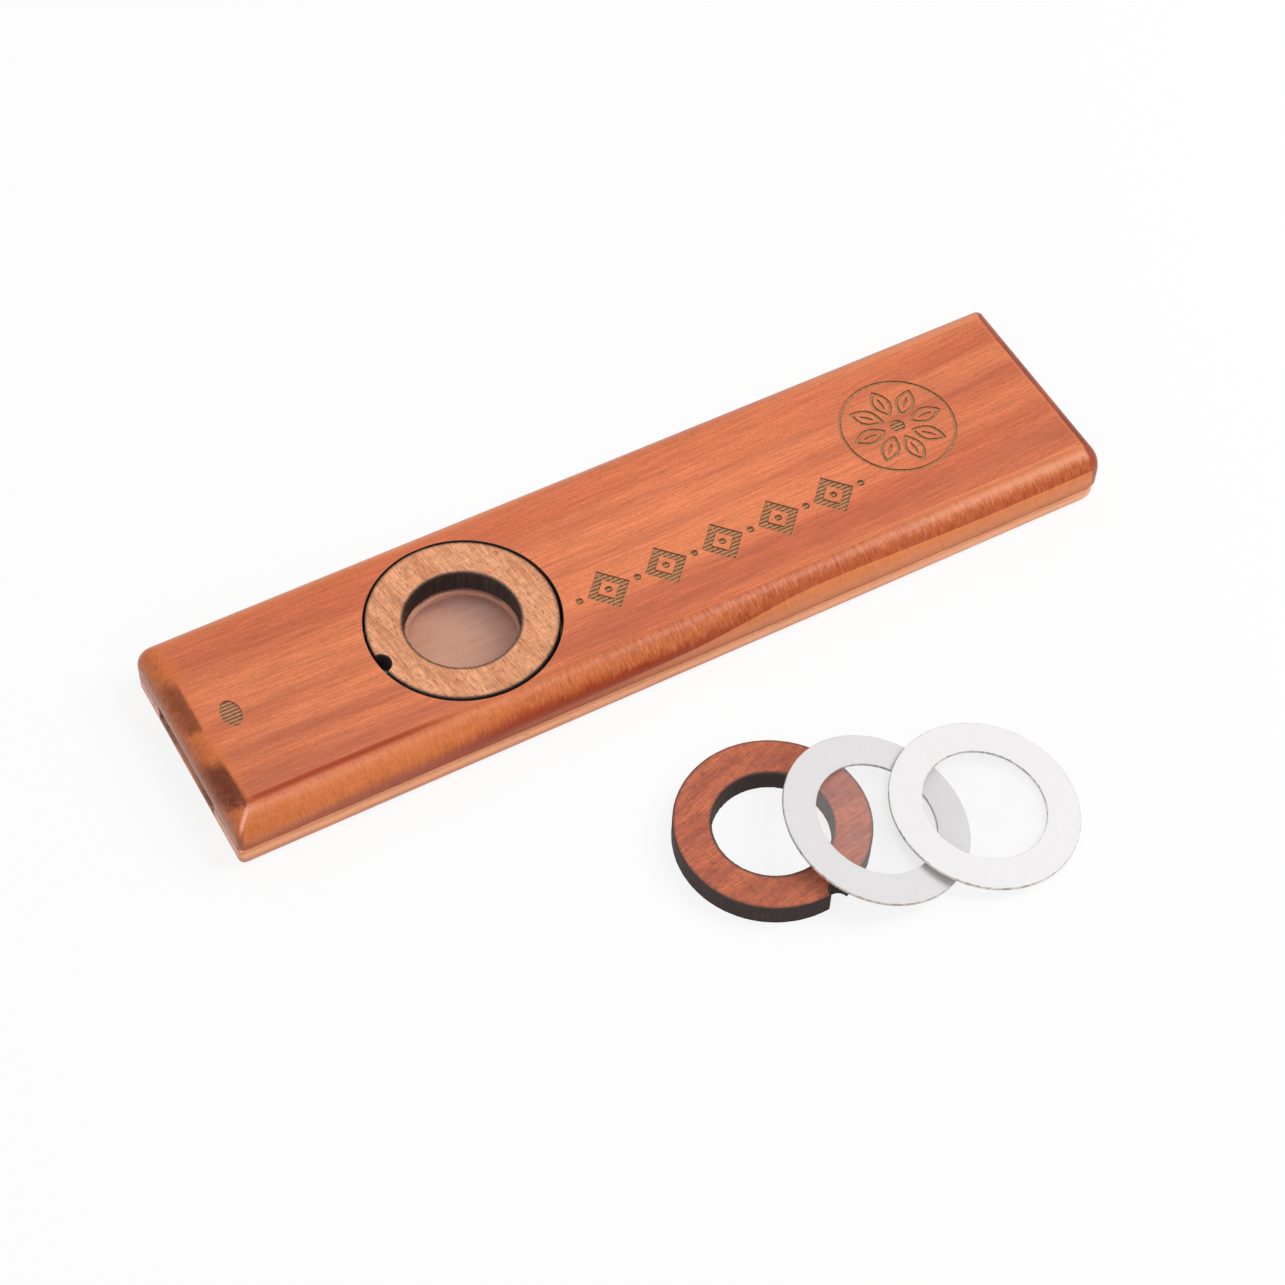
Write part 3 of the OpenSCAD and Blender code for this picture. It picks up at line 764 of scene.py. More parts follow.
def varnished_tan_hardwood(name, hues, half, under, drop):
    """The base plate's lighter hardwood, planed, sanded and wiped with satin varnish.
    To the eye: pale tan with fine straight fibres, a cream stripe along its sides, and browner end grain."""
    material, tree, skin, mm = begun(name)
    x, _, z = add(tree, "SeparateXYZ", None, {0: mm}).outputs
    nx = add(tree, "SeparateXYZ", 0, {0: add(tree, "TexCoord", "Normal")})
    tone, fibre = straight_grain(tree, mm, hues.base_light, hues.base_red, 40)
    # Growth layers along the side, measured down from the glue line: cream in the middle, pinker below
    depth = add(tree, "Math", 0, {0: x, 1: -drop / 2 / half[0], 2: under - drop / 2}, **FUSED)
    depth = add(tree, "Math", 0, {0: depth, 1: z}, **MINUS)
    depth = add(tree, "Math", 0, {0: along_grain(tree, mm, 14, 1.2, 3, 0.6, 44), 1: 0.8, 2: depth}, **FUSED)
    for hue, start, end, strength in ((hues.base_cream, 0.9, 1.3, 0.7), (hues.base_low, 1.7, 2.4, 0.85)):
        share = add(tree, "MapRange", 0, {0: depth, 1: start, 2: end, 3: 0, 4: strength}, **SMOOTH)
        tone = add(tree, "Mix", 2, {0: share, 6: tone, 7: rgba(hue)}, **COLOUR)
    # Pores: dashes 0.15 mm wide and 1.6 mm long
    pores = open_pores(tree, mm, 1.6, 0.15, 57)
    tone = stained(tree, tone, hues.pore, pores, 0.35)
    # End grain: mottled in spots of 1 mm
    blots = add(tree, "TexNoise", "Fac", {"Vector": mm, "Scale": 1, "Detail": 4, "Roughness": 0.65})
    blots = add(tree, "MapRange", 0, {0: blots, 1: 0.4, 2: 0.7, 3: 0.05, 4: 0.5}, **SMOOTH)
    on_end = add(tree, "MapRange", 0, {0: add(tree, "Math", 0, {0: nx}, **SIZE_OF), 1: 0.4, 2: 0.8}, **SMOOTH)
    tone = stained(tree, tone, hues.heart_side, blots, on_end)
    satin_varnish(tree, skin, tone, fibre, pores)
    return material


def laser_cut_wood(name, light, dark, pore, char, turn, outer, rings, seed):
    """Bare 3 mm hardwood sheet, sanded and cut by laser.
    To the eye: matt wood with many short dark pores, browned within half a millimetre of each cut."""
    material, tree, skin, mm = begun(name)
    swung = add(tree, "VectorRotate", 0, {"Vector": mm, "Angle": -turn}, rotation_type="Z_AXIS")
    figure = along_grain(tree, swung, 9, 1.3, 4, 0.65, seed)
    figure = add(tree, "MapRange", 0, {0: figure, 1: 0.35, 2: 0.65}, **SMOOTH)
    tone = add(tree, "Mix", 2, {0: figure, 6: rgba(light), 7: rgba(dark)}, **COLOUR)
    # Fibres 0.2 mm wide and 3 mm long, and pores 0.16 mm wide and 1.1 mm long
    fibre = along_grain(tree, swung, 3, 0.2, 3, 0.65, seed + 5)
    tone = shaded(tree, tone, fibre, 0.8, 1.12)
    pores = open_pores(tree, swung, 1.1, 0.16, seed + 9, 0.57, 0.67)
    tone = stained(tree, tone, pore, pores, 0.6)
    # Ray flecks across the grain: 0.35 mm by 1.6 mm
    crossed = add(tree, "VectorMath", 0, {0: swung, 1: (2.8, 0.6, 0.6)}, **TIMES)
    flecks = add(tree, "TexNoise", "Fac", {"Vector": crossed, "Scale": 1, "Detail": 2, "Roughness": 0.6})
    tone = shaded(tree, tone, flecks, 0.9, 1.09)
    # Scorch along each cut, as (shift of the cut's middle, radius where it is full, radius where it ends)
    speckle = add(tree, "TexNoise", "Fac", {"Vector": mm, "Scale": 2.2, "Detail": 3})
    burn = None
    for shift, near, past in (
        (0, outer - 0.04, outer - 0.5),
        (-rings.hole_shift, rings.hole + 0.18, rings.hole + 0.5),
    ):
        flat = add(tree, "VectorMath", 0, {0: mm, 1: (1, 1, 0), 2: (shift, shift, 0)}, **FUSED)
        radius = add(tree, "VectorMath", "Value", {0: flat}, operation="LENGTH")
        radius = add(tree, "Math", 0, {0: speckle, 1: 0.3, 2: radius}, **FUSED)
        radius = add(tree, "Math", 0, {0: radius, 1: 0.15}, **MINUS)
        one = add(tree, "MapRange", 0, {0: radius, 1: near, 2: past, 3: 1, 4: 0}, **SMOOTH)
        burn = one if burn is None else add(tree, "Math", 0, {0: burn, 1: one}, **LARGER)
    tone = stained(tree, tone, char, burn, 0.8)
    relief = add(tree, "Math", 0, {0: fibre, 1: pores}, **MINUS)
    finished(tree, skin, tone, fibre, (0.5, 0.64), 0.7, 0.03, relief)
    skin.inputs["IOR"].default_value = 1.47
    skin.inputs["Specular IOR Level"].default_value = 0.35
    return material


def charred_wood(name, hues):
    """Wood wall left by a laser cut.
    To the eye: near-black, matt, with upright lines 0.4 mm apart where the beam pulsed, which are coarser
    than real ones so that they show."""
    material, tree, skin, mm = begun(name)
    upright = add(tree, "VectorMath", 0, {0: mm, 1: (2.4, 2.4, 0.16)}, **TIMES)
    lines = add(tree, "TexNoise", "Fac", {"Vector": upright, "Scale": 1, "Detail": 3, "Roughness": 0.65})
    share = add(tree, "MapRange", 0, {0: lines, 1: 0.42, 2: 0.68}, **SMOOTH)
    soot = add(tree, "TexNoise", "Fac", {"Vector": mm, "Scale": 1.1, "Detail": 4})
    soot = add(tree, "MapRange", 0, {0: soot, 1: 0.35, 2: 0.65, 3: 0.35, 4: 1}, **SMOOTH)
    tone = stained(tree, rgba(hues.char), hues.char_light, share, soot)
    finished(tree, skin, tone, lines, (0.6, 0.85), 0.8, 0.05)
    skin.inputs["Specular IOR Level"].default_value = 0.25
    return material


def engraved_wood(name, light, dark, dark_share):
    """Wood burnt away by a laser that draws line by line.
    To the eye: dry toasted tan ridges, or sooty brown where the beam stayed longest."""
    material, tree, skin, mm = begun(name)
    # Grit of 0.3 mm and fibres 0.12 mm wide
    grit = add(tree, "TexNoise", "Fac", {"Vector": mm, "Scale": 3.2, "Detail": 4, "Roughness": 0.7})
    share = add(tree, "Math", 0, {0: along_grain(tree, mm, 2.5, 0.12, 3, 0.6, 2), 1: 0.6, 2: grit}, **FUSED)
    share = {0: share, 1: 0.6, 2: 1.0, 3: dark_share - 0.25, 4: dark_share + 0.3}
    share = add(tree, "MapRange", 0, share, **SMOOTH)
    tone = add(tree, "Mix", 2, {0: share, 6: rgba(light), 7: rgba(dark)}, **COLOUR)
    finished(tree, skin, tone, grit, (0.65, 0.85), 0.8, 0.04)
    skin.inputs["Specular IOR Level"].default_value = 0.3
    return material


def bare_routed_wood(name, hues, mouth):
    """Bare wood inside the air channel and on the ledge, left by a router bit. To the eye: dry and light with
    soft streaks, and painted shade in dark mottled spots inside the mouth slot."""
    material, tree, skin, mm = begun(name)
    x, y, _ = add(tree, "SeparateXYZ", None, {0: mm}).outputs
    grit = along_grain(tree, mm, 7, 1.1, 4, 0.6, 8)
    streaks = add(tree, "MapRange", 0, {0: grit, 1: 0.35, 2: 0.7, 3: 0, 4: 0.12}, **SMOOTH)
    # Painted shade inside the mouth slot, where little light gets in: it fades over 8 mm from the mouth, and
    # is weaker in the middle of the slot
    slot_shade = add(tree, "MapRange", 0, {0: x, 1: mouth, 2: mouth + 8, 3: 0.75, 4: 0}, **SMOOTH)
    off = add(tree, "Math", 0, {0: add(tree, "Math", 0, {0: y, 1: 0.8}, **MINUS)}, **SIZE_OF)
    spots = add(tree, "MapRange", 0, {0: off, 1: 1.6, 2: 4.0, 3: 0.25, 4: 1}, **SMOOTH)
    blots = add(tree, "TexNoise", "Fac", {"Vector": mm, "Scale": 0.5, "Detail": 4, "Roughness": 0.6})
    blots = add(tree, "MapRange", 0, {0: blots, 1: 0.35, 2: 0.65, 3: 0.5, 4: 1.2}, **SMOOTH)
    for share in (spots, blots):
        slot_shade = add(tree, "Math", 0, {0: slot_shade, 1: share}, **TIMES)
    share = add(tree, "Math", 0, {0: streaks, 1: slot_shade}, **LARGER)
    tone = {0: share, 6: rgba(hues.channel_light), 7: rgba(hues.channel_dark)}
    tone = add(tree, "Mix", 2, tone, **COLOUR)
    finished(tree, skin, tone, grit, (0.65, 0.85), 0.6, 0.05)
    return material


def cured_wood_glue(name, hues):
    """Wood glue squeezed thin and wiped off before it set.
    To the eye: a dull dark-red line with glossier beads 1.6 mm long."""
    material, tree, skin, mm = begun(name)
    beads = along_grain(tree, mm, 1.6, 0.5, 3, 0.6, 5)
    share = add(tree, "MapRange", 0, {0: beads, 1: 0.35, 2: 0.7, 3: 0, 4: 0.7}, **SMOOTH)
    tone = add(tree, "Mix", 2, {0: share, 6: rgba(hues.glue), 7: rgba(hues.shell_red)}, **COLOUR)
    finished(tree, skin, tone, beads, (0.6, 0.3), 0.6, 0.05)
    return material


def coated_card(name, white, hues, outer, inner):
    """White coated card, cut by laser.
    To the eye: smooth cool white with a faint fibre mottle and a broken line of brown dots along each cut."""
    material, tree, skin, mm = begun(name)
    # Mottle of 1.2 mm, and burnt dots of 0.8 mm within 0.14 mm of a cut
    pulp = add(tree, "TexNoise", "Fac", {"Vector": mm, "Scale": 0.8, "Detail": 5, "Roughness": 0.6})
    tone = shaded(tree, white, pulp, 1.0, 0.975)
    dots = add(tree, "TexNoise", "Fac", {"Vector": mm, "Scale": 1.3, "Detail": 3, "Roughness": 0.7})
    dots = add(tree, "MapRange", 0, {0: dots, 1: 0.45, 2: 0.62, 3: 0.2, 4: 0.85}, **SMOOTH)
    radius = add(tree, "VectorMath", "Value", {0: mm}, operation="LENGTH")
    rim = add(tree, "MapRange", 0, {0: radius, 1: outer - 0.14, 2: outer - 0.03}, **SMOOTH)
    rim_in = add(tree, "MapRange", 0, {0: radius, 1: inner + 0.02, 2: inner + 0.1, 3: 1, 4: 0}, **SMOOTH)
    rim = add(tree, "Math", 0, {0: rim, 1: rim_in}, **LARGER)
    share = add(tree, "Math", 0, {0: rim, 1: dots}, **TIMES)
    # The cut is brown on one side of the card and clean grey on the other
    cool = add(tree, "MapRange", 0, {0: add(tree, "SeparateXYZ", 0, {0: mm}), 1: -6, 2: 6}, **SMOOTH)
    cut = add(tree, "Mix", 2, {0: cool, 6: rgba(hues.card_burnt), 7: rgba(hues.card_cut)}, **COLOUR)
    tone = add(tree, "Mix", 2, {0: share, 6: tone, 7: cut}, **COLOUR)
    finished(tree, skin, tone, pulp, (0.38, 0.5), 0.4, 0.02)
    return material


def clear_film(name, hues, alpha):
    """Clear stretched plastic film.
    To the eye: nearly invisible, with a faint haze, crinkles that catch the light, and a glossy skin."""
    material, tree, skin, mm = begun(name)
    # Haze in clouds of 3 mm
    haze = add(tree, "TexNoise", "Fac", {"Vector": mm, "Scale": 0.35, "Detail": 4, "Distortion": 0.8})
    tone = shaded(tree, hues.film, haze, 1.0, 0.8, 0.35, 0.65)
    finished(tree, skin, tone, haze, (0.12, 0.24), 0.5, 0.05)
    skin.inputs["Alpha"].default_value = alpha
    skin.inputs["IOR"].default_value = 1.6
    return material


def seen_rays(tree):
    """1 for a ray that shows a thing to the camera, also in gloss or through film, and 0 for other light."""
    rays = add(tree, "LightPath", None).outputs
    seen = add(tree, "Math", 0, {0: rays["Is Camera Ray"], 1: rays["Is Glossy Ray"]}, **LARGER)
    return add(tree, "Math", 0, {0: seen, 1: rays["Is Transmission Ray"]}, **LARGER)


# Shapes of this kazoo


def layer_heights():
    """The glue's lower and upper face at the mouth end, and how much lower both lie at the far end."""
    under, over = corners_of("base_plate")[1].z, corners_of("glue_line")[1].z
    return under, over, over - corners_of("upper_shell")[0].z


def bore_place():
    """Middle of the sound hole in the body."""
    low, high = corners_of("membrane_film")
    return (low.x + high.x) / 2, (low.y + high.y) / 2


def ring_radius():
    """Outer radius of a ring, from the side that its notch leaves whole."""
    return corners_of("retaining_ring")[1].x - bore_place()[0]


def channel_cutter(body, material):
    """The air channel as a solid to cut with. It falls with the glue line and is flared at both mouths."""
    under, over, drop = layer_heights()
    low, high = corners_of("upper_shell")
    past, ease = 1, 0.12
    rows = []
    # Each cut as (place along the body, flare, depth below the glue, height above it)
    for x, wider, down, up in (
        (low.x - past, past, body.mouth_down + past, body.channel_up + past),
        (low.x + ease, 0, body.mouth_down, body.channel_up),
        (low.x + body.mouth_length, 0, body.channel_down, body.channel_up),
        (high.x - ease, 0, body.channel_down, body.channel_up),
        (high.x + past, past, body.channel_down + past, body.channel_up + past),
    ):
        fall = drop * (x - low.x) / (high.x - low.x)
        half, bottom, top = body.channel_half + wider, under - fall - down, over - fall + up
        rows.append([(x, -half, bottom), (x, half, bottom), (x, half, top), (x, -half, top)])
    return draw("channel_cutter", *stacked(rows), [material])


def circle(radius, centre=(0, 0), count=48):
    """A closed outline of count points on a circle."""
    turns = [2 * math.pi * i / count for i in range(count)]
    return [(centre[0] + radius * math.cos(a), centre[1] + radius * math.sin(a)) for a in turns]


def leaf(long, wide, count=14):
    """A pointed leaf along X, rounder than a lozenge."""
    fullness = 0.85
    half = []
    for i in range(count + 1):
        y = wide / 2 * math.sin(math.pi * i / count) ** fullness
        half.append((-long / 2 + long * i / count, y))
    return half[:-1] + [(x, -y) for x, y in reversed(half[1:])]


def lozenge(long, wide):
    """A closed outline of four points, long along X."""
    return [(-long / 2, 0), (0, -wide / 2), (long / 2, 0), (0, wide / 2)]


def moved(outline, x, y, turn=0):
    """An outline turned about 0, 0 and then moved by x, y."""
    c, s = math.cos(turn), math.sin(turn)
    return [(x + px * c - py * s, y + px * s + py * c) for px, py in outline]


def shrunk(outline, by):
    """A convex outline drawn in by a distance."""
    n = len(outline)
    area = sum(outline[i - 1][0] * outline[i][1] - outline[i][0] * outline[i - 1][1] for i in range(n))
    turn = 1 if area > 0 else -1
    sharpest = 0.35
    result = []
    for i in range(n):
        before, here, after = (Vector(outline[k % n]) for k in (i - 1, i, i + 1))
        one, two = here - before, after - here
        one = Vector((-one.y, one.x)).normalized() * turn
        two = Vector((-two.y, two.x)).normalized() * turn
        mitre = (one + two) * by / max((one + two).dot(one), sharpest)
        result.append(tuple(here + mitre))
    return result


def between(outline, low, high):
    """The part of a convex outline with y between low and high."""
    for limit, sign in ((low, 1), (high, -1)):
        kept = []
        for i in range(len(outline)):
            a, b = outline[i - 1], outline[i]
            da, db = sign * (a[1] - limit), sign * (b[1] - limit)
            if (da > 0) != (db > 0):
                t = da / (da - db)
                kept.append((a[0] + (b[0] - a[0]) * t, limit))
            if db > 0:
                kept.append(b)
        outline = kept
        if len(outline) < 3:
            return []
    return outline


def mark_outlines(marks):
    """All laser marks as (outline, hole or None, convex outlines that raster lines fill)."""
    # The oval is a little flatter beside its ends than an ellipse
    flatter = 0.07
    oval = []
    for x, y in circle(1, (0, 0), 36):
        oval.append((x * marks.oval_wide / 2, y * marks.oval_long / 2 * (1 - flatter + flatter * abs(y))))
    oval = moved(oval, marks.oval_x, marks.oval_y)
    found = [(oval, None, [oval])]
    long, wide = marks.lozenge_long, marks.lozenge_wide
    diagonal = 2 * marks.lozenge_line * math.hypot(long, wide)
    count = marks.group.lozenges
    for i in range(count):
        x = marks.band_x + (i - (count - 1) / 2) * marks.lozenge_pitch
        outer = moved(lozenge(long, wide), x, marks.band_y)
        inner = moved(lozenge(long - diagonal / wide, wide - diagonal / long), x, marks.band_y)
        found.append((outer, inner, [[outer[k - 1], outer[k], inner[k], inner[k - 1]] for k in range(4)]))
    for i in range(2 * count + 1):
        x = marks.band_x + (i - count) / 2 * marks.lozenge_pitch
        seed = circle(marks.seed, (x, marks.band_y), 20)
        found.append((seed, None, [seed]))
    centre = (marks.rosette_x, marks.rosette_y)
    rim = marks.rosette - marks.rosette_line
    found.append((circle(marks.rosette, centre, 96), circle(rim, centre, 96), []))
    eye = circle(marks.eye, centre, 28)
    found.append((eye, None, [eye]))
    inside, outside = marks.eye + marks.petal_gap, rim - marks.petal_gap
    # A petal's vein is a little less than half as long as the petal
    vein_long = (outside - inside) * 0.45
    petals = marks.group.petals
    for i in range(petals):
        turn = 2 * math.pi * i / petals
        petal = moved(leaf(outside - inside, marks.petal_wide), (inside + outside) / 2, 0)
        hollow = shrunk(petal, marks.rosette_line)
        vein = moved(leaf(vein_long, marks.rosette_line), (inside + outside) / 2, 0)
        petal, hollow, vein = (moved(shape, *centre, turn) for shape in (petal, hollow, vein))
        found += [(petal, hollow, []), (vein, None, [])]
    return found


def leaning(thing, node, thick):
    """Tilts a disc drawn level, with its lower face at 0, as its CAD node lies. Returns its place."""
    upward, level = 0.5, 1e-4
    normal = Vector((0, 0, 0))
    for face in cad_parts[node].data.polygons:
        if face.normal.z > upward:
            normal += face.normal * face.area
    normal.normalize()
    across = Vector((0, 0, 1)).cross(normal)
    across = across.normalized() if across.length > level else Vector((0, 1, 0))
    turn = Matrix((across.cross(normal), across, normal)).transposed().to_4x4()
    thing.data.transform(turn @ Matrix.Translation((0, 0, -thick / 2)))
    low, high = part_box(node)
    return Matrix.Translation((low + high) / 2)


def notched_ring(name, node, body, middle, notch_turn, rings, wood, char, seed):
    """One laser-cut ring with its sound hole, prying notch and rippled, charred walls."""
    low, high = corners_of(node)
    outer, inner, edge, tall = ring_radius(), rings.hole, rings.edge, high.z - low.z
    dice = random.Random(seed)
    segments = 300
    ripples = [[dice.uniform(-1, 1) * rings.ripple for _ in range(segments)] for _ in range(2)]
    top = tall - edge
    inside = [(inner + edge, 0), (inner, edge), (inner, tall / 2), (inner, top), (inner + edge, tall)]
    outside = [(outer - edge, tall), (outer, top), (outer, tall / 2), (outer, edge), (outer - edge, 0)]
    shifts = [(rings.hole_shift, rings.hole_shift)] * len(inside) + [(0, 0)] * len(outside)
    level_rows = (0, len(inside) - 1, len(inside), len(inside) + len(outside) - 1)

    def ripple(row, segment):
        """Upright lines on both walls, which stay inside the outer radius."""
        if row in level_rows:
            return 0
        return ripples[0][segment] if row < len(inside) else -abs(ripples[1][segment])

    points, faces = turned(inside + outside, segments, shifts, ripple)
    kinds = []
    for k in range(len(inside) + len(outside)):
        kinds += [0 if k in (level_rows[1], level_rows[3]) else 1] * segments
    thing = draw(name, points, faces, [wood, char], kinds)
    at = (outer * math.cos(notch_turn), outer * math.sin(notch_turn))
    r, past = rings.notch, 1
    profile = [(r + past, -past), (r + edge, 0), (r, edge)]
    profile += [(r, top), (r + edge, tall), (r + past, tall + past)]
    carve(thing, solid_turned(name + "_notch", profile, 64, at, [char]))
    return place(thing, body, node, Matrix.Translation(Vector((*middle, low.z)) * MM))


def film_disc(name, outer, thin, crinkle, free, material, seed):
    """A thin closed disc, slightly crinkled within the free radius, as film that has lost some tension."""
    dice = random.Random(seed)
    # Folds, each as (direction, distance from the middle, width, share of the height)
    count, limits = 9, ((0, math.pi), (-5, 5), (0.5, 1.4), (0.3, 1))
    folds = [[dice.uniform(*limit) for limit in limits] for _ in range(count)]
    # Folds add up where they cross, so each is lower than the crinkle's height
    crowded = 3

    def lift(x, y):
        """Height of the crinkled film at one place."""
        fade = max(0.0, 1 - (math.hypot(x, y) / free) ** 4)
        total = 0
        for turn, shift, wide, high in folds:
            off = x * math.cos(turn) + y * math.sin(turn) - shift
            total += high * math.exp(-((off / wide) ** 2))
        return crinkle * fade * total / crowded

    segments, circles = 120, 40
    points = []
    for side in (0, 1):
        for k in range(1, circles + 1):
            for x, y in circle(outer * k / circles, (0, 0), segments):
                points.append((x, y, lift(x, y) + side * thin))
        points.append((0, 0, lift(0, 0) + side * thin))
    faces, per = [], segments * circles + 1
    for start in (0, per):
        for i in range(segments):
            j = (i + 1) % segments
            faces.append((start + per - 1, start + i, start + j))
            for k in range(circles - 1):
                a, b = start + k * segments, start + (k + 1) * segments
                faces.append((a + i, b + i, b + j, a + j))
    rim = (circles - 1) * segments
    for i in range(segments):
        j = (i + 1) % segments
        faces.append((rim + i, per + rim + i, per + rim + j, rim + j))
    return draw(name, points, faces, [material])


def recess_cutters(rings, low, top, char, routed):
    """The ring's recess and the hole under the membrane, as solids to cut with. low is the shell's lowest
    place and top its flat top."""
    bore, ledge, past = bore_place(), corners_of("membrane_film")[0].z, 1
    middle = (bore[0] + rings.recess_shift_x, bore[1] + rings.recess_shift_y)
    wall, edge = ring_radius() + rings.gap, rings.edge / 2
    profile = [(wall, ledge), (wall, top - edge), (wall + edge, top), (wall + edge + past, top + past)]
    recess = solid_turned("recess_cutter", profile, 200, middle, [char, routed])
    through = [(rings.ledge_hole, low - past), (rings.ledge_hole, ledge + past)]
    return recess, solid_turned("ledge_cutter", through, 120, bore, [routed])


def mark_cutters(marks, top, reach, floor, line):
    """The laser marks and their raster lines, as solids to cut with. The lines are spread over reach to
    either side of the body's middle."""
    outlines = mark_outlines(marks)
    bottom, past = top - marks.depth, 1
    pockets = gathered([prism(outline, bottom, top + past, hole) for outline, hole, _ in outlines])
    pocket = draw("pocket_cutter", *pockets[:2], [floor, line], pockets[2])
    grooves, margin, shortest = [], 0.06, 0.25
    count = int(reach / marks.line_pitch)
    for outline in [shrunk(one, margin) for _, _, filled in outlines for one in filled]:
        for k in range(-count, count):
            y = k * marks.line_pitch
            strip = between(outline, y, y + marks.line_width)
            if len(strip) > 2 and max(p[0] for p in strip) - min(p[0] for p in strip) > shortest:
                grooves.append(prism(strip, bottom - marks.line_depth, bottom + marks.line_depth))
    lines = gathered(grooves)
    return pocket, draw("groove_cutter", *lines[:2], [line, line], lines[2])


# Operators


class KAZOO_OT_upper_shell(bpy.types.Operator):
    """Builds the upper shell: rounded edges, ring recess, air channel and laser marks"""

    bl_idname = "kazoo.upper_shell"
    bl_label = "Upper shell"

    def execute(self, context):
        body, rings = InMillimetres(context.scene.kazoo_body), InMillimetres(context.scene.kazoo_rings)
        marks, hues = InMillimetres(context.scene.kazoo_marks), context.scene.kazoo_colours
        top = corners_of("upper_shell")[1].z
        half = tuple(corners_of("upper_shell")[1])[:2]
        _, over, drop = layer_heights()
        sanded = 0.04

        def crease(side, t):
            """Inset of the flat top's edge."""
            if side == NEAR:
                share = eased_step(t + 1)
                return body.crease_near_left + (body.crease_near - body.crease_near_left) * share
            if side == LEFT:
                share = eased_step(t + 1)
                return body.crease_left_near + (body.crease_left - body.crease_left_near) * share
            return (body.crease_far if side == FAR else body.crease_right) + wander(t, 5 + side, sanded)

        def step(t):
            """Height of the step beside the flat top."""
            return body.step_left + (body.step_right - body.step_left) * eased_step((t + 1) / 2)

        def underside(t):
            """Height of the shell's lower face, which falls with the glue line."""
            return over - drop * (t + 1) / 2

        # The round-over starts a little lower than its height alone would put it
        lowered = 0.2
        nominal = top - lowered
        start = nominal - body.round_height

        def inset(side, t, height):
            """Inset of a side's rounded edge at a height that varies along the body."""
            x = t if side in (NEAR, FAR) else (1 if side == RIGHT else -1)
            end = top - step(x)
            low = nominal - (body.round_height_right if side == RIGHT else body.round_height)
            share = min(max((height(x) - low) / (end - low), 0), 1)
            return crease(side, t) * (1 - math.sqrt(1 - share * share))

        upright = (body.corner_near_right, body.corner_far_right, body.corner_far_left, body.corner_near_left)
        crisp = (body.crease_corner_right, body.crease_corner, body.crease_corner, body.crease_corner)

        def radii(share):
            """The four corners' radii, which stay round until close to the flat top."""
            return [low + (high - low) * share**3 for low, high in zip(upright, crisp)]

        rows = [
            plan_row(half, lambda s, t: body.eased, upright, underside),
            plan_row(half, lambda s, t: 0, upright, lambda t: underside(t) + body.eased),
            plan_row(half, lambda s, t: 0, upright, lambda t: (underside(t) + start) / 2),
        ]
        # The round-over, in steps that are closest where it meets the flat top
        arc = 22
        for k in range(arc + 1):
            share = math.sin(math.pi / 2 * k / arc)

            def height(t, share=share):
                return start + (top - step(t) - start) * share

            rows.append(plan_row(half, lambda s, t: inset(s, t, height), radii(k / arc), height))
        # The step beside the flat top, as (distance in from the crease, share of its height)
        for more, rise in ((0.03, 0.45), (0.07, 0.85), (0.14, 1)):

            def stepped(t, rise=rise):
                return top - step(t) * (1 - rise)

            rows.append(plan_row(half, lambda s, t: crease(s, t) + more, radii(1), stepped))
        wood = varnished_red_hardwood("varnished_red_hardwood", hues, body, half, over, drop)
        char = charred_wood("charred_recess_wall", hues)
        routed = bare_routed_wood("bare_routed_channel", hues, -half[0])
        floor = engraved_wood("laser_mark_floor", hues.mark_light, hues.mark_dark, 0.22)
        line = engraved_wood("laser_mark_line", hues.mark_light, hues.mark_dark, 0.8)
        thing = draw("upper_shell_wood", *stacked(rows), [wood, char, routed, floor, line])
        recess = recess_cutters(rings, over - drop, top, char, routed)
        carve(thing, *recess, channel_cutter(body, routed), *mark_cutters(marks, top, half[1], floor, line))
        place(thing, "body", "upper_shell")
        return {"FINISHED"}


class KAZOO_OT_base_plate(bpy.types.Operator):
    """Builds the base plate with its eased edges and its half of the air channel"""

    bl_idname = "kazoo.base_plate"
    bl_label = "Base plate"

    def execute(self, context):
        body, hues = InMillimetres(context.scene.kazoo_body), context.scene.kazoo_colours
        low, high = corners_of("base_plate")
        half = (high.x, high.y)
        under, _, drop = layer_heights()
        radii = (body.base_corner_right, body.corner_far_right, body.corner_far_left, body.corner_near_left)

        def upper(t):
            """Height of the plate's upper face, which falls with the glue line."""
            return under - drop * (t + 1) / 2

        rows = []
        steps = 8
        for k in range(steps + 1):
            turn = math.pi / 2 * k / steps
            inset, z = body.base_edge * (1 - math.sin(turn)), low.z + body.base_edge * (1 - math.cos(turn))
            rows.append(plan_row(half, lambda s, t: inset, radii, lambda t: z))
        rows += [
            plan_row(half, lambda s, t: 0, radii, lambda t: (low.z + body.base_edge + upper(t)) / 2),
            plan_row(half, lambda s, t: 0, radii, lambda t: upper(t) - body.eased),
            plan_row(half, lambda s, t: body.eased, radii, upper),
        ]
        wood = varnished_tan_hardwood("varnished_tan_hardwood", hues, half, under, drop)
        routed = bare_routed_wood("bare_routed_base", hues, -half[0])
        thing = draw("base_plate_wood", *stacked(rows), [wood, routed])
        carve(thing, channel_cutter(body, routed))
        place(thing, "body", "base_plate")
        return {"FINISHED"}


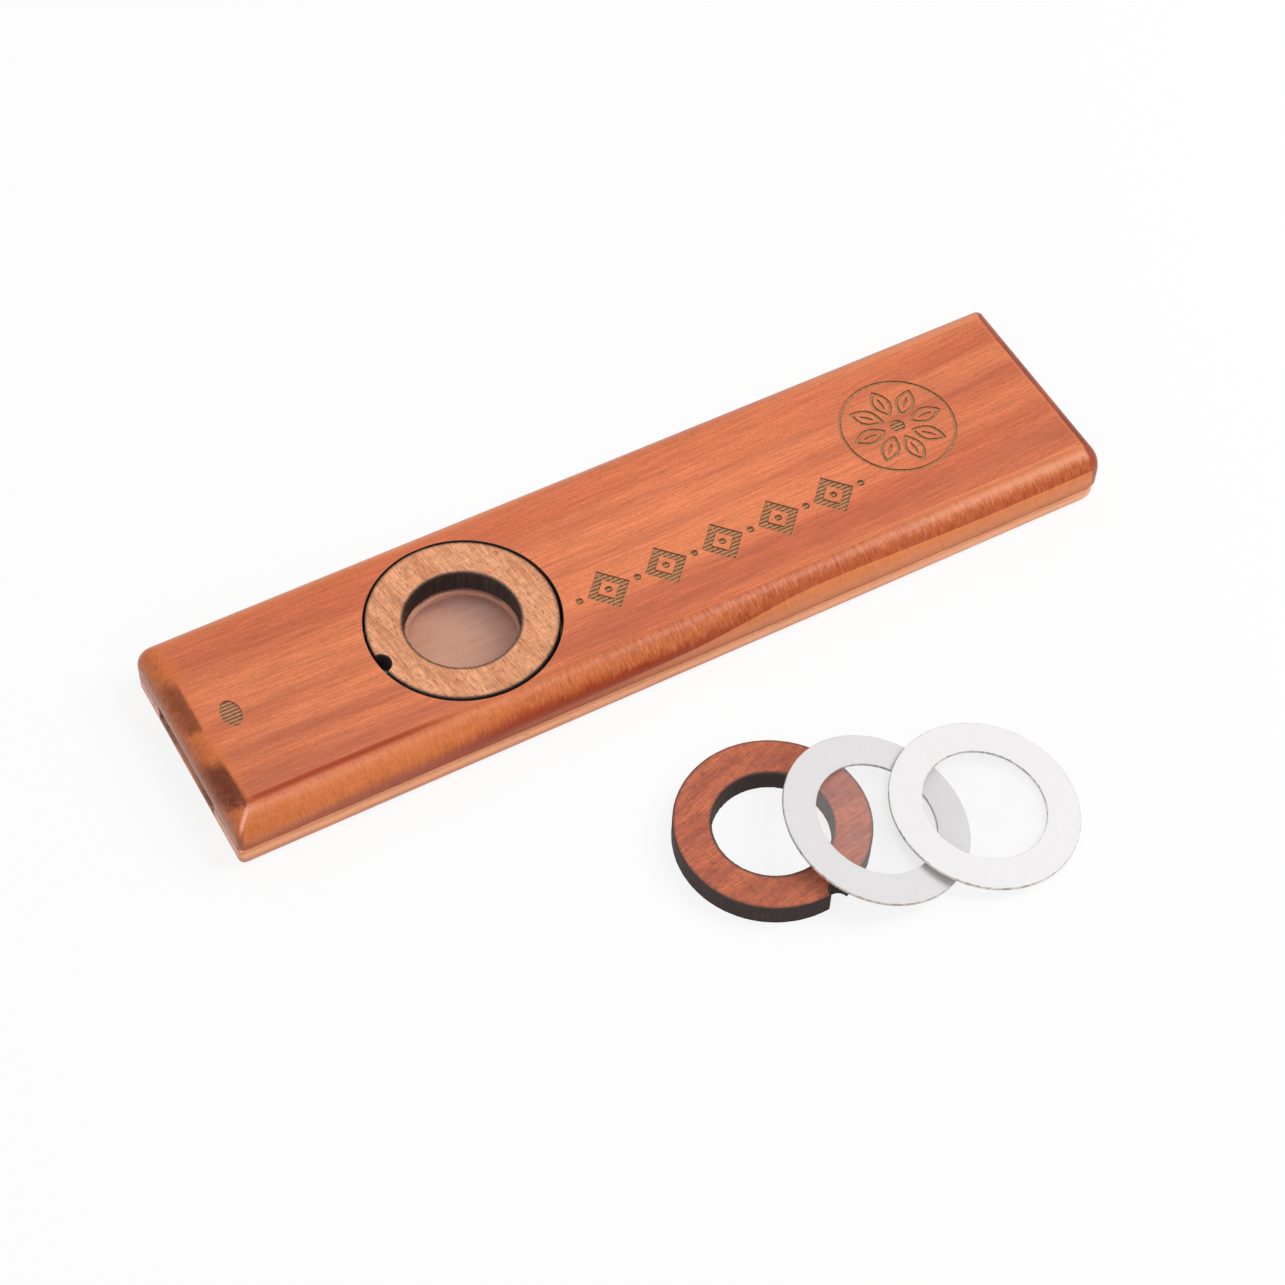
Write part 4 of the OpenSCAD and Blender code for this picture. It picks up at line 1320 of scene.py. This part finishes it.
class KAZOO_OT_glue_line(bpy.types.Operator):
    """Builds the thin, slightly uneven glue line between the two layers"""

    bl_idname = "kazoo.glue_line"
    bl_label = "Glue line"

    def execute(self, context):
        body, hues = InMillimetres(context.scene.kazoo_body), context.scene.kazoo_colours
        half = tuple(corners_of("base_plate")[1])[:2]
        under, over, drop = layer_heights()
        radii = (body.corner_near_right, body.corner_far_right, body.corner_far_left, body.corner_near_left)
        squeezed, uneven, waves, bulge = 0.02, 0.025, 7, 0.045
        rows = []
        steps = 4
        for k in range(steps + 1):
            share = k / steps
            out = bulge * math.sin(math.pi * share)

            def inset(side, t, out=out):
                return body.glue_back + squeezed - out + wander(t * waves, 20 + side, uneven)

            def height(t, share=share):
                return under + (over - under) * share - drop * (t + 1) / 2

            rows.append(plan_row(half, inset, radii, height, (140, 40)))
        glue = cured_wood_glue("cured_wood_glue", hues)
        thing = draw("glue_line_bead", *stacked(rows), [glue])
        carve(thing, channel_cutter(body, glue))
        place(thing, "body", "glue_line")
        return {"FINISHED"}


class KAZOO_OT_retaining_rings(bpy.types.Operator):
    """Builds the ring in the body and the spare ring"""

    bl_idname = "kazoo.retaining_rings"
    bl_label = "Retaining rings"

    def execute(self, context):
        rings, hues = InMillimetres(context.scene.kazoo_rings), context.scene.kazoo_colours
        turns, outer = rings.group, ring_radius()
        char = charred_wood("charred_ring_wall", hues)
        tan = laser_cut_wood(
            "laser_cut_tan_wood", hues.ring_light, hues.ring_dark, hues.pore, hues.char,
            turns.grain_turn, outer, rings, 4,
        )
        brown = laser_cut_wood(
            "laser_cut_red_brown_wood", hues.spare_light, hues.spare_dark, hues.channel_dark, hues.char,
            turns.spare_grain_turn, outer, rings, 23,
        )
        low, high = corners_of("spare_retaining_ring")
        spare_middle = ((low.x + high.x) / 2, high.y - outer)
        notched_ring(
            "retaining_ring_wood", "retaining_ring", "ring",
            bore_place(), turns.notch_turn, rings, tan, char, 11,
        )
        notched_ring(
            "spare_ring_wood", "spare_retaining_ring", "spare_ring",
            spare_middle, turns.spare_notch_turn, rings, brown, char, 12,
        )
        return {"FINISHED"}


class KAZOO_OT_membranes(bpy.types.Operator):
    """Builds the membrane under the ring and the two spare membranes, each a card frame with its film"""

    bl_idname = "kazoo.membranes"
    bl_label = "Membranes"

    def execute(self, context):
        rings, hues = InMillimetres(context.scene.kazoo_rings), context.scene.kazoo_colours
        low, high = corners_of("membrane_frame")
        outer, inner, thin = (high.x - low.x) / 2, rings.frame_hole, rings.film
        tall = high.z - corners_of("membrane_film")[1].z
        edge = rings.frame_edge
        white = coated_card("white_coated_card", hues.card, hues, outer, inner)
        grey = coated_card("greyer_coated_card", hues.card_grey, hues, outer, inner)
        film = clear_film("clear_plastic_film", hues, rings.group.haze)
        inside = [(inner + edge, 0), (inner, edge), (inner, tall - edge), (inner + edge, tall)]
        outside = [(outer - edge, tall), (outer, tall - edge), (outer, edge), (outer - edge, 0)]
        level = [(0, 0)] * (len(inside) + len(outside))
        for k, (body, frame_node, film_node, card) in enumerate(
            (
                ("membrane", "membrane_frame", "membrane_film", white),
                ("spare_membrane_a", "spare_frame_a", "spare_film_a", grey),
                ("spare_membrane_b", "spare_frame_b", "spare_film_b", white),
            )
        ):
            points, faces = turned(inside + outside, 240, level, lambda row, segment: 0)
            thing = draw(frame_node + "_card", points, faces, [card])
            place(thing, body, frame_node, leaning(thing, frame_node, tall))
            thing = film_disc(film_node + "_clear", outer, thin, rings.crinkle, rings.free, film, 30 + k)
            place(thing, body, film_node, leaning(thing, film_node, thin), sharp=60)
        return {"FINISHED"}


class KAZOO_OT_stage(bpy.types.Operator):
    """Sets up the pale floor, the soft light, the room and the camera"""

    bl_idname = "kazoo.stage"
    bl_label = "Stage"

    def execute(self, context):
        scene, values = context.scene, context.scene.kazoo_stage
        sizes = InMillimetres(values)
        white = rgba(scene.kazoo_colours.floor)
        reach, down = sizes.floor_reach, -sizes.floor_drop
        square = [(-reach, -reach, down), (reach, -reach, down), (reach, reach, down), (-reach, reach, down)]
        floor = draw("floor", square, [(0, 1, 2, 3)])
        floor.scale = (MM, MM, MM)
        material = bpy.data.materials.new("matt_white_paper")
        material.use_nodes = True
        tree = material.node_tree
        tree.nodes.clear()
        # Matt white paper keeps the shadow, and shows mostly as plain white, as in a light tent
        paper = add(tree, "BsdfDiffuse", 0, {"Color": rgba((values.paper,) * 3)})
        glow = add(tree, "Emission", 0, {"Color": white, "Strength": 1.0})
        share = add(tree, "Math", 0, {0: seen_rays(tree), 1: values.floor_glow}, **TIMES)
        surface = add(tree, "MixShader", 0, {0: share, 1: paper, 2: glow})
        add(tree, "OutputMaterial", None, {"Surface": surface})
        floor.data.materials.append(material)

        world = bpy.data.worlds.new("light_tent")
        world.use_nodes = True
        tree = world.node_tree
        tree.nodes.clear()
        # The room brightens from the floor to three quarters of the way up
        up = add(tree, "SeparateXYZ", None, {0: add(tree, "TexCoord", "Generated")}).outputs[2]
        level = {0: up, 1: 0, 2: 0.75, 3: values.sky_low, 4: values.sky_high}
        level = add(tree, "MapRange", 0, level, **SMOOTH)
        room = add(tree, "Background", 0, {"Color": white, "Strength": level})
        plain = add(tree, "Background", 0, {"Color": white, "Strength": 1.0})
        surface = add(tree, "MixShader", 0, {0: seen_rays(tree), 1: room, 2: plain})
        add(tree, "OutputWorld", None, {"Surface": surface})
        scene.world = world

        # The front softbox lights nothing and only shows in gloss
        for name, key in (("softbox", "lamp"), ("front_softbox", "front")):
            lamp = bpy.data.lights.new(name, "AREA")
            wide, tall, power = (getattr(values, f"{key}_{part}") for part in ("wide", "tall", "power"))
            lamp.shape, lamp.size, lamp.size_y, lamp.energy = "RECTANGLE", wide, tall, power
            softbox = bpy.data.objects.new(name, lamp)
            softbox.location = [getattr(values, f"{key}_{axis}") for axis in "xyz"]
            softbox.rotation_euler = (-softbox.location).to_track_quat("-Z", "Y").to_euler()
            softbox.visible_diffuse = name == "softbox"
            scene.collection.objects.link(softbox)

        a, e, r = values.azimuth, values.elevation, values.roll
        back = Vector((math.sin(a) * math.cos(e), -math.cos(a) * math.cos(e), math.sin(e)))
        right = Vector((math.cos(a), math.sin(a), 0))
        up = back.cross(right)
        right, up = math.cos(r) * right + math.sin(r) * up, -math.sin(r) * right + math.cos(r) * up
        turn = Matrix((right, up, back)).transposed().to_4x4()
        lens = bpy.data.cameras.new("camera")
        lens.lens, lens.sensor_width, lens.sensor_fit = values.lens, values.sensor, "HORIZONTAL"
        lens.clip_start, lens.clip_end = 0.01, 20
        camera = bpy.data.objects.new("camera", lens)
        target = Vector((values.target_x, values.target_y, 0))
        camera.matrix_world = Matrix.Translation(target + back * values.distance) @ turn
        scene.collection.objects.link(camera)
        scene.camera = camera
        scene.view_settings.view_transform = "Standard"
        return {"FINISHED"}


class KAZOO_PT_panel(bpy.types.Panel):
    """Lists the kazoo's operators and values in the sidebar"""

    bl_idname = "KAZOO_PT_panel"
    bl_label = "Flat wooden kazoo"
    bl_space_type = "VIEW_3D"
    bl_region_type = "UI"
    bl_category = "Kazoo"

    def draw(self, context):
        for operator in OPERATORS:
            self.layout.operator(operator.bl_idname)
        for name, (_, label) in GROUPS.items():
            box = self.layout.box()
            box.label(text=label)
            group = getattr(context.scene, name)
            for key in group.__annotations__:
                box.prop(group, key)


GROUPS = {
    "kazoo_body": (KazooBodySizes, "Body"),
    "kazoo_rings": (KazooRingSizes, "Rings and membranes"),
    "kazoo_marks": (KazooMarkSizes, "Laser marks"),
    "kazoo_colours": (KazooColours, "Colours"),
    "kazoo_stage": (KazooStageValues, "Stage"),
}
OPERATORS = (
    KAZOO_OT_upper_shell,
    KAZOO_OT_base_plate,
    KAZOO_OT_glue_line,
    KAZOO_OT_retaining_rings,
    KAZOO_OT_membranes,
    KAZOO_OT_stage,
)
CLASSES = tuple(group for group, _ in GROUPS.values()) + OPERATORS + (KAZOO_PT_panel,)


def register():
    for one in CLASSES:
        bpy.utils.register_class(one)
    for name, (group, _) in GROUPS.items():
        setattr(bpy.types.Scene, name, PointerProperty(type=group))


def unregister():
    for name in GROUPS:
        delattr(bpy.types.Scene, name)
    for one in reversed(CLASSES):
        bpy.utils.unregister_class(one)


def main():
    register()
    bpy.ops.kazoo.upper_shell()
    bpy.ops.kazoo.base_plate()
    bpy.ops.kazoo.glue_line()
    bpy.ops.kazoo.retaining_rings()
    bpy.ops.kazoo.membranes()
    bpy.ops.kazoo.stage()


if __name__ == "__main__":
    main()
